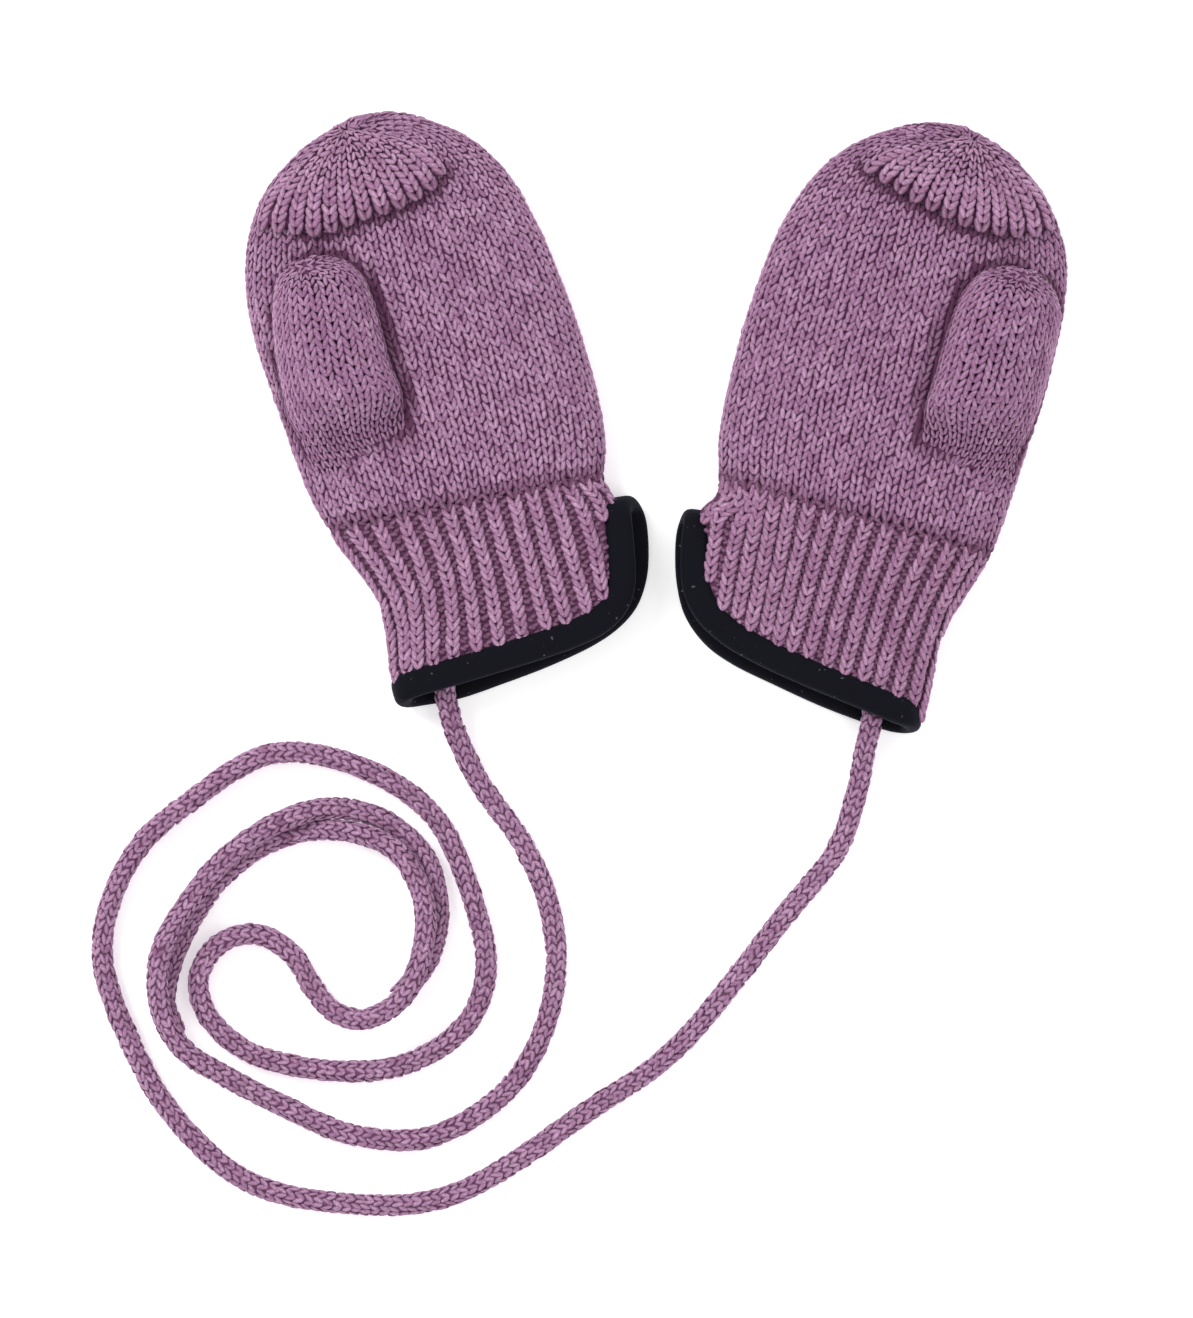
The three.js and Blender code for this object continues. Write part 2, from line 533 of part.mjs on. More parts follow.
// Band round the hem and the slit: one closed loop that folds over at the slit's top and at the
// thumb side. grow widens and thickens it.
function bandBody(mitten, grow) {
  const upperHeight = ({ u, v }) => palmTop(mitten, u, v) - ribWall / 2;
  const upper = mitten.bandUpper.map((row) => ({ ...row, z: upperHeight(row) }));
  const under = mitten.bandUnder.map((row) => ({ ...row, z: bandThickness / 2 }));
  const fold = (from, to, pushU, pushV) => [45, 90, 135].map((angle) => {
    const turn = THREE.MathUtils.degToRad(angle);
    const share = (1 - Math.cos(turn)) / 2;
    return {
      u: from.u + (to.u - from.u) * share + pushU * Math.sin(turn),
      v: from.v + (to.v - from.v) * share + pushV * Math.sin(turn),
      z: from.z + (to.z - from.z) * share,
      facing: from.facing + (to.facing - from.facing) * share,
    };
  });
  const slitFold = fold(upper.at(-1), under.at(-1), 0, bandFold);
  const sideFold = fold(under[0], upper[0], -bandFold, 0);
  const route = [...upper, ...slitFold, ...under.slice().reverse(), ...sideFold];
  const centre = new THREE.CatmullRomCurve3(route.map(({ u, v, z }) => new THREE.Vector3(u, v, z)), true);
  const facing = new THREE.CatmullRomCurve3(route.map((row) => {
    const angle = THREE.MathUtils.degToRad(row.facing);
    return new THREE.Vector3(Math.cos(angle), Math.sin(angle), 0);
  }), true);
  const corners = [[0.5, 0.2], [0.32, 0.5], [-0.32, 0.5], [-0.5, 0.2], [-0.5, -0.2], [-0.32, -0.5], [0.32, -0.5], [0.5, -0.2]];
  const steps = route.length * 2;
  const rings = [];
  for (let i = 0; i < steps; i++) {
    const along = centre.getTangent(i / steps);
    const out = facing.getPoint(i / steps);
    out.addScaledVector(along, -out.dot(along)).normalize();
    const up = new THREE.Vector3().crossVectors(along, out);
    const ring = corners.map(([w, h]) => centre.getPoint(i / steps)
      .addScaledVector(out, w * (bandWidth + 2 * grow))
      .addScaledVector(up, h * (bandThickness + 2 * grow)));
    ring.forEach((point) => point.setZ(Math.max(point.z, -grow)));
    rings.push(ring);
  }
  return solidOf(loft(handed(mitten, rings), true));
}

// Cuff: a ribbed tube, slit down the side and cut back to the band
function cuff(mitten) {
  const hem = mitten.sections[0].along;
  const top = mitten.seamAt - seam / 2;
  const places = [hem, -3, 4, 10, 16, 21, 26, 30.5, top];
  const ribs = (along) => (i) => {
    const fade = Math.min(1, Math.max(0.35, (top - along) / 8)) * Math.min(1, Math.max(0, (along + 4) / 6));
    return i % 3 === 0 ? 0 : ribDepth * fade;
  };
  const outer = places.map((along) => mittenRing(mitten, along, {
    inset: 0, floor: 0, top: ribsAcross * 3, sole: 18, lift: ribs(along),
  }));
  const inner = [hem - 2, -3, 8, 18, 26, top + 2].map((along) => mittenRing(mitten, along, {
    inset: ribWall, floor: ribWall, top: 16, sole: 8,
  }));
  const far = 70;
  const foldAt = (mitten.bandUpper[0].v + mitten.bandUnder[0].v) / 2;
  const beyond = (rows) => [
    { u: -far, v: foldAt },
    { u: rows[0].u - bandFold / 2, v: foldAt },
    ...rows,
    { u: far, v: rows.at(-1).v + 3 },
    { u: far, v: -far },
    { u: -far, v: -far },
  ];
  const withTop = (rows) => [...rows, { u: rows.at(-1).u + 1, v: rows.at(-1).v + 3 }];
  return solidOf(loft(handed(mitten, outer)))
    .subtract(solidOf(loft(handed(mitten, inner))))
    .subtract(solidOf(block(mitten, beyond(withTop(mitten.bandUpper)), layerSplit, 40)))
    .subtract(solidOf(block(mitten, beyond(withTop(mitten.bandUnder)), -10, layerSplit)))
    .subtract(bandBody(mitten, seam));
}

// Cord: a plain tube along its route, with steps closer together where the route's points are
class RoutePath extends THREE.CatmullRomCurve3 {
  getUtoTmapping(u) {
    return u;
  }
}

function cord(route, steps) {
  const section = new THREE.Shape(Array.from({ length: cordSides }, (_, i) => {
    const angle = (2 * Math.PI * (i + 0.5)) / cordSides;
    return new THREE.Vector2(Math.cos(angle), Math.sin(angle)).multiplyScalar(cordDiameter / 2);
  }));
  const path = new RoutePath(route.map(({ x, y, z }) => new THREE.Vector3(x, y, z)));
  return new THREE.ExtrudeGeometry(section, { steps, bevelEnabled: false, extrudePath: path });
}

// Materials and the finished pair
const knit = new THREE.MeshStandardMaterial({ color: 0x98698f, roughness: 0.95, metalness: 0 });
const ribKnit = new THREE.MeshStandardMaterial({ color: 0x936389, roughness: 0.95, metalness: 0 });
const velour = new THREE.MeshStandardMaterial({ color: 0x14151f, roughness: 0.85, metalness: 0 });
const cordKnit = new THREE.MeshStandardMaterial({ color: 0x94648a, roughness: 0.95, metalness: 0 });

function piece(name, geometry, material) {
  const mesh = new THREE.Mesh(geometry, material);
  mesh.name = name;
  return mesh;
}

const pair = new THREE.Group();
for (const mitten of [leftMitten, rightMitten]) {
  const group = new THREE.Group();
  group.position.set(mitten.at[0], mitten.at[1], 0);
  group.rotation.z = THREE.MathUtils.degToRad(mitten.lean);
  group.add(
    piece(`hand_${mitten.name}`, geometryOf(hand(mitten)), knit),
    piece(`thumb_${mitten.name}`, geometryOf(thumb(mitten)), knit),
    piece(`tip_fan_${mitten.name}`, geometryOf(tipFan(mitten)), ribKnit),
    piece(`cuff_${mitten.name}`, geometryOf(cuff(mitten)), ribKnit),
    piece(`binding_${mitten.name}`, geometryOf(bandBody(mitten, 0)), velour),
  );
  pair.add(group);
}
pair.add(
  piece('cord_left', cord(leftCordRoute, cordSteps.left), cordKnit),
  piece('cord_right', cord(rightCordRoute, cordSteps.right), cordKnit),
);

export default pair;
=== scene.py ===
# A pair of baby mittens laid flat, palms up, with their knitted cords in a spiral: the looks.
# Tables are in millimetres. Each mitten has its own plan frame: u across, from the thumb side to
# the slit side, v along, from the hem to the tip. Cloth is laid on the same form as the solids,
# and the yarn of every stitch that shows lies on it as two legs.
import math

import bmesh
import bpy
import numpy as np
from mathutils import Matrix, Vector


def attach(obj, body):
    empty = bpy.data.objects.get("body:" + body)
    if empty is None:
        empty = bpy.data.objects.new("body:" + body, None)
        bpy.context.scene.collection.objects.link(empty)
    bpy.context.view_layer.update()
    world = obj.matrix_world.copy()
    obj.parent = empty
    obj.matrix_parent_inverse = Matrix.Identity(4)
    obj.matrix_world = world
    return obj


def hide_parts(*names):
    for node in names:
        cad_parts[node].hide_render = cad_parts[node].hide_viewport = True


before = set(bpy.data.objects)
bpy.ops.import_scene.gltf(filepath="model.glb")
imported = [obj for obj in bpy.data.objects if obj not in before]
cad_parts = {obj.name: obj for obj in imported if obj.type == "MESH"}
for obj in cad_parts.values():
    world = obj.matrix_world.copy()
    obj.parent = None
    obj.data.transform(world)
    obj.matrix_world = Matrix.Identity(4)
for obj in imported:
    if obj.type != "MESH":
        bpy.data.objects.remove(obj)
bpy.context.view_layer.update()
rng = np.random.default_rng(11)

MM = 0.001
SIDE_HEIGHT = 5.5
SOLE_CROWN = 5
SOLE_FLAT = 0.6
SEAM = 0.3
RIB_DEPTH = 0.9
FAN_RIBS = 12
BAND_WIDTH = 6.5
BAND_THICKNESS = 4.2
BAND_FOLD = 4.0
CORD_DIAMETER = 5.3
RIB_LEVELS = (0, 8, 16, 24, 34)
STITCH_WIDTH = 2.95
STITCH_ROW = 2.15
RIB_ROW = 2.02
FAN_ROW = 2.1
CORD_ROW = 2.3
THUMB_CROWN = 2.4
THUMB_TIP = 100.5
THUMB_WALES, THUMB_TIP_WALES, PALM_TIP_WALES, CORD_WALES = 13, 7, 24, 6
CORD_TWIST = 210

# Places on the v axis where the wales start to run together, and the length given to that
PALM_END, THUMB_END, CLOSING = 120, 91, 12

# Legs of the stitches, as half their width, length and height
PALM_LEG = (0.7, 1.56, 0.6)
THUMB_LEG = (0.64, 1.56, 0.62)
FAN_LEG = (0.74, 1.62, 0.7)
RIB_LEG = (0.72, 1.7, 0.68)
SIDE_LEG = (0.7, 1.6, 0.5)
CORD_LEG = (0.84, 1.75, 0.6)
PURL_BAR = (0.74, 1.1, 0.5)

SECTION_COLUMNS = ("along", "thumb", "slit", "height", "crown", "tilt", "lag")
THUMB_COLUMNS = ("along", "outer", "inner", "rise")


def table(columns, rows):
    """Columns of a short table by name"""
    return {name: np.array([row[i] for row in rows], float) for i, name in enumerate(columns)}


LEFT = {
    "name": "left", "side": 1, "lean": math.radians(14.93), "at": (-37.39, -52.2), "seam": 34.7,
    "sections": table(SECTION_COLUMNS, [
        (-12, -27.0, 36.5, 14.6, 3.6, 0.8, 3.0),
        (-2, -27.0, 37.5, 14.6, 3.6, 0.6, 3.0),
        (6, -26.7, 38.4, 14.6, 3.6, 0.2, 2.0),
        (14, -25.3, 38.6, 14.6, 3.5, -0.6, 0.8),
        (18, -25.8, 38.0, 14.6, 3.4, -1.0, 0.3),
        (22, -27.8, 36.4, 14.6, 3.3, -1.4, 0.0),
        (26, -29.9, 34.9, 14.6, 3.2, -1.8, 0.0),
        (30, -31.6, 33.7, 14.6, 3.1, -2.0, 0.0),
        (34, -33.0, 34.2, 14.7, 3.0, -2.2, 0.0),
        (42, -35.1, 36.8, 15.2, 2.8, -1.5, 0.0),
        (54, -36.4, 37.8, 16.0, 2.6, -0.3, 0.0),
        (70, -37.6, 37.3, 16.5, 2.6, 0.0, 0.0),
        (82, -38.4, 36.1, 16.6, 2.6, 0.0, 0.0),
        (94, -37.9, 34.3, 16.4, 2.6, 0.0, 0.0),
        (106, -34.9, 31.3, 15.2, 2.5, 0.0, 0.0),
        (114, -30.8, 27.4, 13.6, 2.5, 0.0, 0.0),
        (120, -25.6, 22.7, 12.0, 2.4, 0.0, 0.0),
        (124, -20.7, 17.9, 10.6, 2.4, 0.0, 0.0),
        (127, -16.0, 13.2, 9.2, 2.3, 0.0, 0.0),
        (129, -8.5, 7.5, 7.8, 2.2, 0.0, 0.0),
        (130.4, -1.5, 3.5, 6.4, 2.2, 0.0, 0.0),
    ]),
    "thumb": table(THUMB_COLUMNS, [
        (54.0, -32.0, -11.5, 1.3), (57.0, -33.3, -9.0, 3.4), (60.5, -34.4, -7.7, 6.4),
        (64.5, -35.0, -7.5, 9.0), (70.0, -34.9, -8.3, 10.9), (78.0, -34.3, -8.2, 11.7),
        (86.0, -33.1, -8.3, 11.7), (92.5, -31.0, -9.3, 10.9), (97.0, -28.2, -12.5, 8.6),
        (99.4, -24.2, -15.0, 5.6), (100.4, -20.8, -17.2, 3.2),
    ]),
    "thumb_gather": (-21.7, 98.0),
    "fan_edge": [(-31.6, 110.4), (-24.9, 107.0), (-16.4, 103.8), (-6.9, 104.6), (3.7, 105.2),
                 (12.0, 107.4), (17.0, 112.0)],
    "gather": (-4.4, 127.2),
    "ribs": [(-26.2, -24.6, -24.4, -27.0, -31.4), (-23.4, -21.4, -21.4, -23.2, -27.1),
             (-20.2, -18.3, -17.3, -18.9, -21.2),
             (-16.6, -14.4, -13.3, -13.7, -15.0), (-11.6, -9.4, -8.2, -8.3, -9.6),
             (-5.8, -4.5, -3.7, -3.4, -4.0), (-0.2, 0.7, 1.3, 1.4, 1.1),
             (5.5, 6.2, 6.5, 6.4, 6.3), (11.6, 11.6, 11.8, 11.8, 11.9),
             (16.5, 16.6, 16.5, 16.5, 16.3), (21.9, 21.9, 21.6, 21.8, 21.5),
             (26.4, 26.8, 27.5, 26.9, 26.3), (31.0, 31.0, 31.6, 31.2, 30.4),
             (34.4, 34.6, 35.6, 34.2, 33.4)],
    "band_upper": [(-22.0, -4.8, -91), (-14.0, -4.6, -90), (-3.0, -4.3, -89), (8.0, -3.9, -87),
                   (17.0, -3.2, -81), (24.5, -1.6, -66), (29.4, 1.7, -38), (31.8, 6.2, -17),
                   (33.1, 11.5, -10), (34.6, 20.0, -6)],
    "band_under": [(-22.0, -7.2, -92), (-13.5, -7.9, -88), (-1.8, -7.1, -86), (9.6, -5.9, -83),
                   (20.9, -3.8, -76), (26.9, -1.6, -60), (31.2, 1.3, -42), (34.2, 5.4, -26),
                   (36.2, 10.2, -15), (38.0, 19.2, -6)],
    "kink": 1.3,
}

RIGHT = {
    "name": "right", "side": -1, "lean": math.radians(-12.88), "at": (37.49, -54.6), "seam": 34.4,
    "sections": table(SECTION_COLUMNS, [
        (-16, -29.4, 32.5, 14.6, 3.6, 5.6, 2.6),
        (-4, -29.2, 35.6, 14.6, 3.6, 4.8, 2.6),
        (4, -29.0, 36.4, 14.6, 3.6, 4.0, 1.8),
        (12, -28.5, 36.4, 14.6, 3.5, 3.2, 0.8),
        (18, -30.2, 35.8, 14.6, 3.4, 2.7, 0.3),
        (22, -32.2, 34.6, 14.6, 3.3, 2.4, 0.0),
        (26, -34.3, 32.6, 14.6, 3.2, 2.1, 0.0),
        (30, -35.8, 30.4, 14.6, 3.1, 1.9, 0.0),
        (34, -36.9, 31.0, 14.7, 3.0, 1.8, 0.0),
        (42, -38.1, 32.8, 15.2, 2.8, 1.2, 0.0),
        (54, -39.2, 33.6, 16.0, 2.6, 0.2, 0.0),
        (70, -40.7, 33.4, 16.5, 2.6, 0.0, 0.0),
        (82, -41.0, 32.4, 16.6, 2.6, 0.0, 0.0),
        (94, -40.7, 30.7, 16.4, 2.6, 0.0, 0.0),
        (106, -38.4, 27.3, 15.2, 2.5, 0.0, 0.0),
        (114, -34.0, 23.2, 13.6, 2.5, 0.0, 0.0),
        (120, -29.3, 18.3, 12.0, 2.4, 0.0, 0.0),
        (124, -24.8, 13.8, 10.6, 2.4, 0.0, 0.0),
        (127, -20.3, 8.2, 9.2, 2.3, 0.0, 0.0),
        (129, -14.6, 3.0, 7.8, 2.2, 0.0, 0.0),
        (130.1, -7.2, -1.0, 6.4, 2.2, 0.0, 0.0),
    ]),
    "thumb": table(THUMB_COLUMNS, [
        (54.0, -36.0, -17.0, 1.3), (57.0, -37.4, -14.5, 3.4), (60.5, -38.6, -13.2, 6.4),
        (64.5, -39.4, -13.2, 9.0), (70.0, -40.1, -13.7, 10.9), (78.0, -40.5, -14.0, 11.7),
        (86.0, -40.5, -14.8, 11.7), (92.5, -39.8, -16.4, 10.9), (97.0, -37.4, -18.8, 8.6),
        (99.5, -33.6, -21.6, 5.6), (100.6, -29.6, -24.4, 3.2),
    ]),
    "thumb_gather": (-28.5, 98.0),
    "fan_edge": [(-34.6, 111.6), (-28.6, 107.4), (-16.6, 105.8), (-7.4, 107.2), (0.9, 109.4),
                 (9.9, 112.6), (14.5, 115.0)],
    "gather": (-10.5, 127.4),
    "ribs": [(-28.6, -28.4, -29.8, -32.6, -35.8), (-26.0, -26.2, -27.3, -29.4, -32.4),
             (-21.9, -22.1, -23.1, -24.9, -27.4),
             (-17.4, -17.7, -18.6, -19.8, -22.2), (-13.2, -13.2, -13.6, -14.7, -16.4),
             (-8.5, -8.8, -9.1, -10.0, -11.0), (-4.1, -4.1, -4.4, -5.0, -5.8),
             (0.9, 0.5, 0.2, -0.3, -0.8), (5.1, 4.8, 4.5, 4.2, 3.6),
             (8.6, 8.7, 8.7, 8.6, 8.6), (12.0, 12.3, 12.4, 12.7, 13.2),
             (15.8, 15.9, 16.1, 16.5, 16.9), (19.5, 19.7, 20.0, 20.1, 20.8),
             (23.3, 23.4, 23.9, 24.0, 24.4), (27.3, 27.5, 28.3, 29.0, 28.4),
             (31.4, 31.8, 32.6, 31.8, 30.9)],
    "band_upper": [(-23.0, -9.5, -105), (-12.4, -7.7, -103), (0.0, -5.6, -101), (11.5, -3.2, -90),
                   (20.5, -0.4, -72), (27.0, 3.6, -45), (30.6, 8.6, -22), (32.3, 14.5, -11),
                   (33.4, 20.5, -6)],
    "band_under": [(-23.0, -11.7, -104), (-15.5, -10.9, -102), (-5.7, -9.5, -102),
                   (5.9, -7.1, -103), (17.2, -4.4, -90), (23.6, -1.6, -62), (28.9, 3.2, -40),
                   (32.0, 9.3, -20), (33.8, 15.5, -9), (34.6, 20.5, -4)],
    "kink": 3.6,
}

# Routes of the cords over the surface, from inside each cuff to their tucked-in ends
LEFT_CORD = [
    (-52.1, -52.3, 6.1), (-51.1, -61.9, 7.0), (-49.9, -68.6, 7.2), (-47.3, -76.6, 4.7),
    (-42.2, -87.1, 2.7), (-32.4, -100.8, 2.7), (-26.2, -114.7, 2.7), (-24.0, -130.6, 2.7),
    (-27.8, -148.3, 2.7), (-37.4, -162.2, 2.7), (-54.7, -172.1, 2.7), (-73.4, -171.4, 2.7),
    (-91.4, -163.7, 3.2), (-104.2, -156.7, 5.8), (-113.3, -150.7, 8.2), (-119.0, -140.6, 8.5),
    (-118.8, -127.2, 8.3), (-112.6, -115.9, 8.0), (-103.7, -105.0, 8.2), (-90.2, -95.9, 7.2),
    (-77.9, -92.7, 4.4), (-65.0, -95.9, 2.7), (-55.3, -105.2, 2.7), (-52.3, -118.3, 2.7),
    (-54.9, -129.6, 2.7), (-62.4, -138.6, 2.7),
]
RIGHT_CORD = [
    (53.8, -55.9, 6.1), (52.8, -64.3, 7.0), (51.8, -71.5, 7.2), (50.4, -78.5, 5.0),
    (48.5, -88.6, 2.7), (43.7, -102.7, 2.7), (31.4, -118.3, 2.7), (4.1, -151.4, 2.7),
    (-14.2, -164.4, 2.7), (-49.7, -186.2, 2.7), (-73.4, -188.2, 2.7), (-97.9, -182.9, 2.7),
    (-115.0, -168.5, 2.7), (-126.5, -149.5, 2.7), (-133.4, -126.7, 2.7), (-126.2, -104.4, 2.7),
    (-110.6, -90.0, 2.7), (-92.4, -79.7, 2.7), (-71.5, -82.8, 2.7), (-54.0, -94.1, 2.7),
    (-44.6, -113.3, 2.7), (-40.9, -132.5, 2.7), (-45.8, -145.0, 2.7), (-59.8, -154.3, 2.7),
    (-75.8, -156.2, 2.7), (-98.4, -151.4, 2.7), (-108.4, -142.0, 2.7), (-110.0, -133.2, 2.7),
    (-105.2, -125.6, 2.7), (-96.4, -123.2, 2.7), (-88.0, -127.6, 2.7), (-82.6, -136.0, 2.7),
    (-78.2, -141.3, 3.1), (-71.4, -143.6, 5.2), (-64.6, -141.2, 7.9), (-59.8, -136.6, 8.8),
    (-56.2, -127.6, 8.6), (-55.7, -115.4, 8.1), (-61.6, -103.7, 7.2), (-72.7, -98.6, 4.6),
    (-85.4, -98.6, 2.7), (-97.6, -103.6, 2.7), (-107.4, -112.8, 2.7), (-116.3, -129.0, 2.7),
    (-118.2, -139.5, 2.7), (-115.2, -147.8, 2.7),
]


# ---- curves and surfaces ----

def unit(vectors):
    return vectors / np.maximum(np.linalg.norm(vectors, axis=-1, keepdims=True), 1e-9)


def dome(x, power):
    """Height of a rounded box section of height 1 over x from -1 to 1"""
    return (1 - np.abs(x) ** power) ** (1 / power)


def run(line):
    """Distance along a polyline at each of its points"""
    return np.concatenate([[0], np.cumsum(np.linalg.norm(np.diff(line, axis=0), axis=1))])


def row_at(rows, along):
    """Rows of a table at places on the v axis, on a smooth curve through the rows"""
    places = rows["along"]
    along = np.asarray(along, float)
    last = len(places) - 2
    i = np.clip(np.searchsorted(places, along, side="right") - 1, 0, last)
    before, after = np.maximum(i - 1, 0), np.minimum(i + 2, last + 1)
    length = places[i + 1] - places[i]
    t = (along - places[i]) / length
    ease = t * t * (3 - 2 * t)
    result = {}
    for name, c in rows.items():
        slope_a = (c[i + 1] - c[before]) / (places[i + 1] - places[before]) * length
        slope_b = (c[after] - c[i]) / (places[after] - places[i]) * length
        result[name] = (c[i] + (c[i + 1] - c[i]) * ease
                        + slope_a * t * (1 - t) ** 2 - slope_b * t * t * (1 - t))
    return result


def palm_top(m, u, v):
    """Height of the top of the cloth over plan points"""
    row = row_at(m["sections"], v)
    across = np.abs((2 * u - row["thumb"] - row["slit"]) / (row["slit"] - row["thumb"]))
    arch = dome(np.clip(across, 0, 1), row["crown"])
    return SIDE_HEIGHT + (row["height"] - SIDE_HEIGHT) * arch


def palm_normal(m, u, v):
    step = 0.2
    slope_u = (palm_top(m, u + step, v) - palm_top(m, u - step, v)) / (2 * step)
    slope_v = (palm_top(m, u, v + step) - palm_top(m, u, v - step)) / (2 * step)
    return unit(np.stack([-slope_u, -slope_v, np.ones_like(slope_u)], -1))


def spline(points, steps, closed=False):
    """Points on a centripetal curve through a route, with the same number of steps in each span"""
    p = np.asarray(points, float)
    if closed:
        p = np.concatenate([p[-1:], p, p[:2]])
    else:
        p = np.concatenate([2 * p[:1] - p[1:2], p, 2 * p[-1:] - p[-2:-1]])
    t = (np.arange(steps) / steps)[:, None]
    out = []
    for i in range(1, len(p) - 2):
        p0, p1, p2, p3 = p[i - 1:i + 3]
        d0, d1, d2 = (max(np.linalg.norm(b - a), 1e-4) ** 0.5
                      for a, b in ((p0, p1), (p1, p2), (p2, p3)))
        t1 = ((p1 - p0) / d0 - (p2 - p0) / (d0 + d1) + (p2 - p1) / d1) * d1
        t2 = ((p2 - p1) / d1 - (p3 - p1) / (d1 + d2) + (p3 - p2) / d2) * d1
        out.append(p1 + t1 * t + (-3 * p1 + 3 * p2 - 2 * t1 - t2) * t ** 2
                   + (2 * p1 - 2 * p2 + t1 + t2) * t ** 3)
    if not closed:
        out.append(p[-2:-1])
    return np.concatenate(out)


def even(line, count):
    """count + 1 evenly spaced points along a polyline"""
    length = run(line)
    wanted = np.linspace(0, length[-1], count + 1)
    return np.stack([np.interp(wanted, length, line[:, k]) for k in range(line.shape[1])], -1)


def bezier(p0, p1, p2, p3, t):
    t = t[:, None, None]
    return p0 * (1 - t) ** 3 + 3 * p1 * t * (1 - t) ** 2 + 3 * p2 * t * t * (1 - t) + p3 * t ** 3


class Cloth:
    """A surface over s, along the wales, and a, across them. grid holds its points in mm."""

    def __init__(self, s, a, grid, wraps):
        self.s, self.a, self.grid, self.wraps = s, a, grid, wraps

    def at(self, s, a):
        a = np.mod(a, 2.0) if self.wraps else np.clip(a, self.a[0], self.a[-1])
        s = np.clip(s, self.s[0], self.s[-1])
        i = np.clip(np.searchsorted(self.s, s, side="right") - 1, 0, len(self.s) - 2)
        j = np.clip(np.searchsorted(self.a, a, side="right") - 1, 0, len(self.a) - 2)
        p = ((s - self.s[i]) / (self.s[i + 1] - self.s[i]))[..., None]
        q = ((a - self.a[j]) / (self.a[j + 1] - self.a[j]))[..., None]
        g = self.grid
        return ((g[i, j] * (1 - q) + g[i, j + 1] * q) * (1 - p)
                + (g[i + 1, j] * (1 - q) + g[i + 1, j + 1] * q) * p)

    def frame(self, s, a, step=0.6):
        """Point, direction across, direction along and outward normal"""
        da = 0.008
        low, high = np.clip(s - step, self.s[0], self.s[-1]), np.clip(s + step, self.s[0], self.s[-1])
        across = unit(self.at(s, a + da) - self.at(s, a - da))
        along = unit(self.at(high, a) - self.at(low, a))
        normal = unit(np.cross(across, along))
        return self.at(s, a), np.cross(along, normal), along, normal

    def rows(self, a, start, end, pitch, first=0.5):
        """Places of evenly spaced rows along one wale, the first one a share of a row in"""
        s = np.linspace(start, end, 240)
        line = self.at(s, np.full_like(s, a))
        length = run(line)
        count = max(int(round(length[-1] / pitch)), 1)
        return np.interp((np.arange(count) + first) * length[-1] / count, length, s)

    def wide(self, s, a, share):
        """Distance across a share of a, at s"""
        return np.linalg.norm(self.at(s, a + share / 2) - self.at(s, a - share / 2), axis=-1)


def mitten_ring(m, v, inset=0.0, floor=0.0, top=160, low=120):
    """Section of the mitten: a runs 0 to 1 over the top and 1 to 2 back underneath"""
    row = row_at(m["sections"], v)
    middle, half = (row["thumb"] + row["slit"]) / 2, (row["slit"] - row["thumb"]) / 2 - inset
    x = -np.cos(np.pi * np.arange(141) / 140)
    arch, bowl = dome(x, row["crown"]), dome(x, SOLE_CROWN)
    crest = SIDE_HEIGHT + (row["height"] - inset - SIDE_HEIGHT) * arch
    upper = np.stack([middle + half * x, crest], -1)
    drop = SIDE_HEIGHT - (SIDE_HEIGHT - floor + SOLE_FLAT) * bowl
    under = np.stack([middle + half * x, np.maximum(floor, drop)], -1)[::-1]
    line = np.concatenate([even(upper, top), even(under, low)[1:]])
    rise = (row["tilt"] * (line[:, 0] - middle) / half
            - row["lag"] * (1 - line[:, 1] / row["height"]))
    return np.stack([line[:, 0], v + rise, line[:, 1]], -1)


RING_A = np.concatenate([np.linspace(0, 1, 161), np.linspace(1, 2, 121)[1:]])


def hand_cloth(m, inset=0.0, floor=0.0):
    """Hand: rings up the palm, then wales that run together at the gather point near the tip"""
    places = np.concatenate([[m["seam"] + SEAM / 2], np.linspace(37, PALM_END, 64)])
    rings = [mitten_ring(m, v, inset, floor) for v in places]
    first = rings[-1]
    u, z = first[:, 0], first[:, 2]
    g = np.array([*m["gather"], 0.0])
    g[2] = palm_top(m, g[0], g[1]) - inset
    row, beyond = row_at(m["sections"], PALM_END), row_at(m["sections"], PALM_END + 4)
    x = 2 * (u - row["thumb"]) / (row["slit"] - row["thumb"]) - 1
    slope = np.where(x > 0, x * (beyond["slit"] - row["slit"]),
                     -x * (beyond["thumb"] - row["thumb"])) / 4
    quarter = np.array([0, 0.5, 1, 1.5, 2])
    push = np.interp(RING_A, quarter, [9.3, 3.5, 11, 10.6, 9.3])
    pull = np.interp(RING_A, quarter, [6, 2.5, 11, 5.2, 6])
    turn = np.radians(np.interp(RING_A, quarter, [155, 270, 395, 450, 515]))
    away = unit(np.stack([slope, np.ones_like(u), np.zeros_like(u)], -1))
    p1 = first + away * push[:, None]
    further = row_at(m["sections"], p1[:, 1].clip(PALM_END, 129))["height"]
    p1[:, 2] += (further - row["height"]) * z / row["height"]
    p2 = g + np.stack([np.cos(turn), np.sin(turn), np.zeros_like(turn)], -1) * pull[:, None]
    p2[:, 2] -= 0.03 * pull ** 1.5
    t = np.linspace(0, 1, 34)[1:]
    grid = np.concatenate([np.array(rings), bezier(first, p1, p2, g, t)])
    return Cloth(np.concatenate([places, PALM_END + CLOSING * t]), RING_A, grid, True)


def thumb_row(m, v):
    """Outline and full height of the thumb"""
    row = row_at(m["thumb"], np.maximum(v, 58.0))
    rise = row_at(m["thumb"], np.maximum(v, 76.0))["rise"]
    return row["outer"] - 0.12 * np.minimum(v - 58.0, 0), row["inner"], rise


def thumb_ramp(v, x):
    """Share of its height that the thumb has near its base: a long rise at the side of the hand,
    a short one in the middle of the palm"""
    t = np.clip((v - 49.0 - 4.5 * x) / (20.0 - 8.5 * x), -0.15, 1)
    return np.where(t < 0, 2 * t, t * t * (3 - 2 * t))


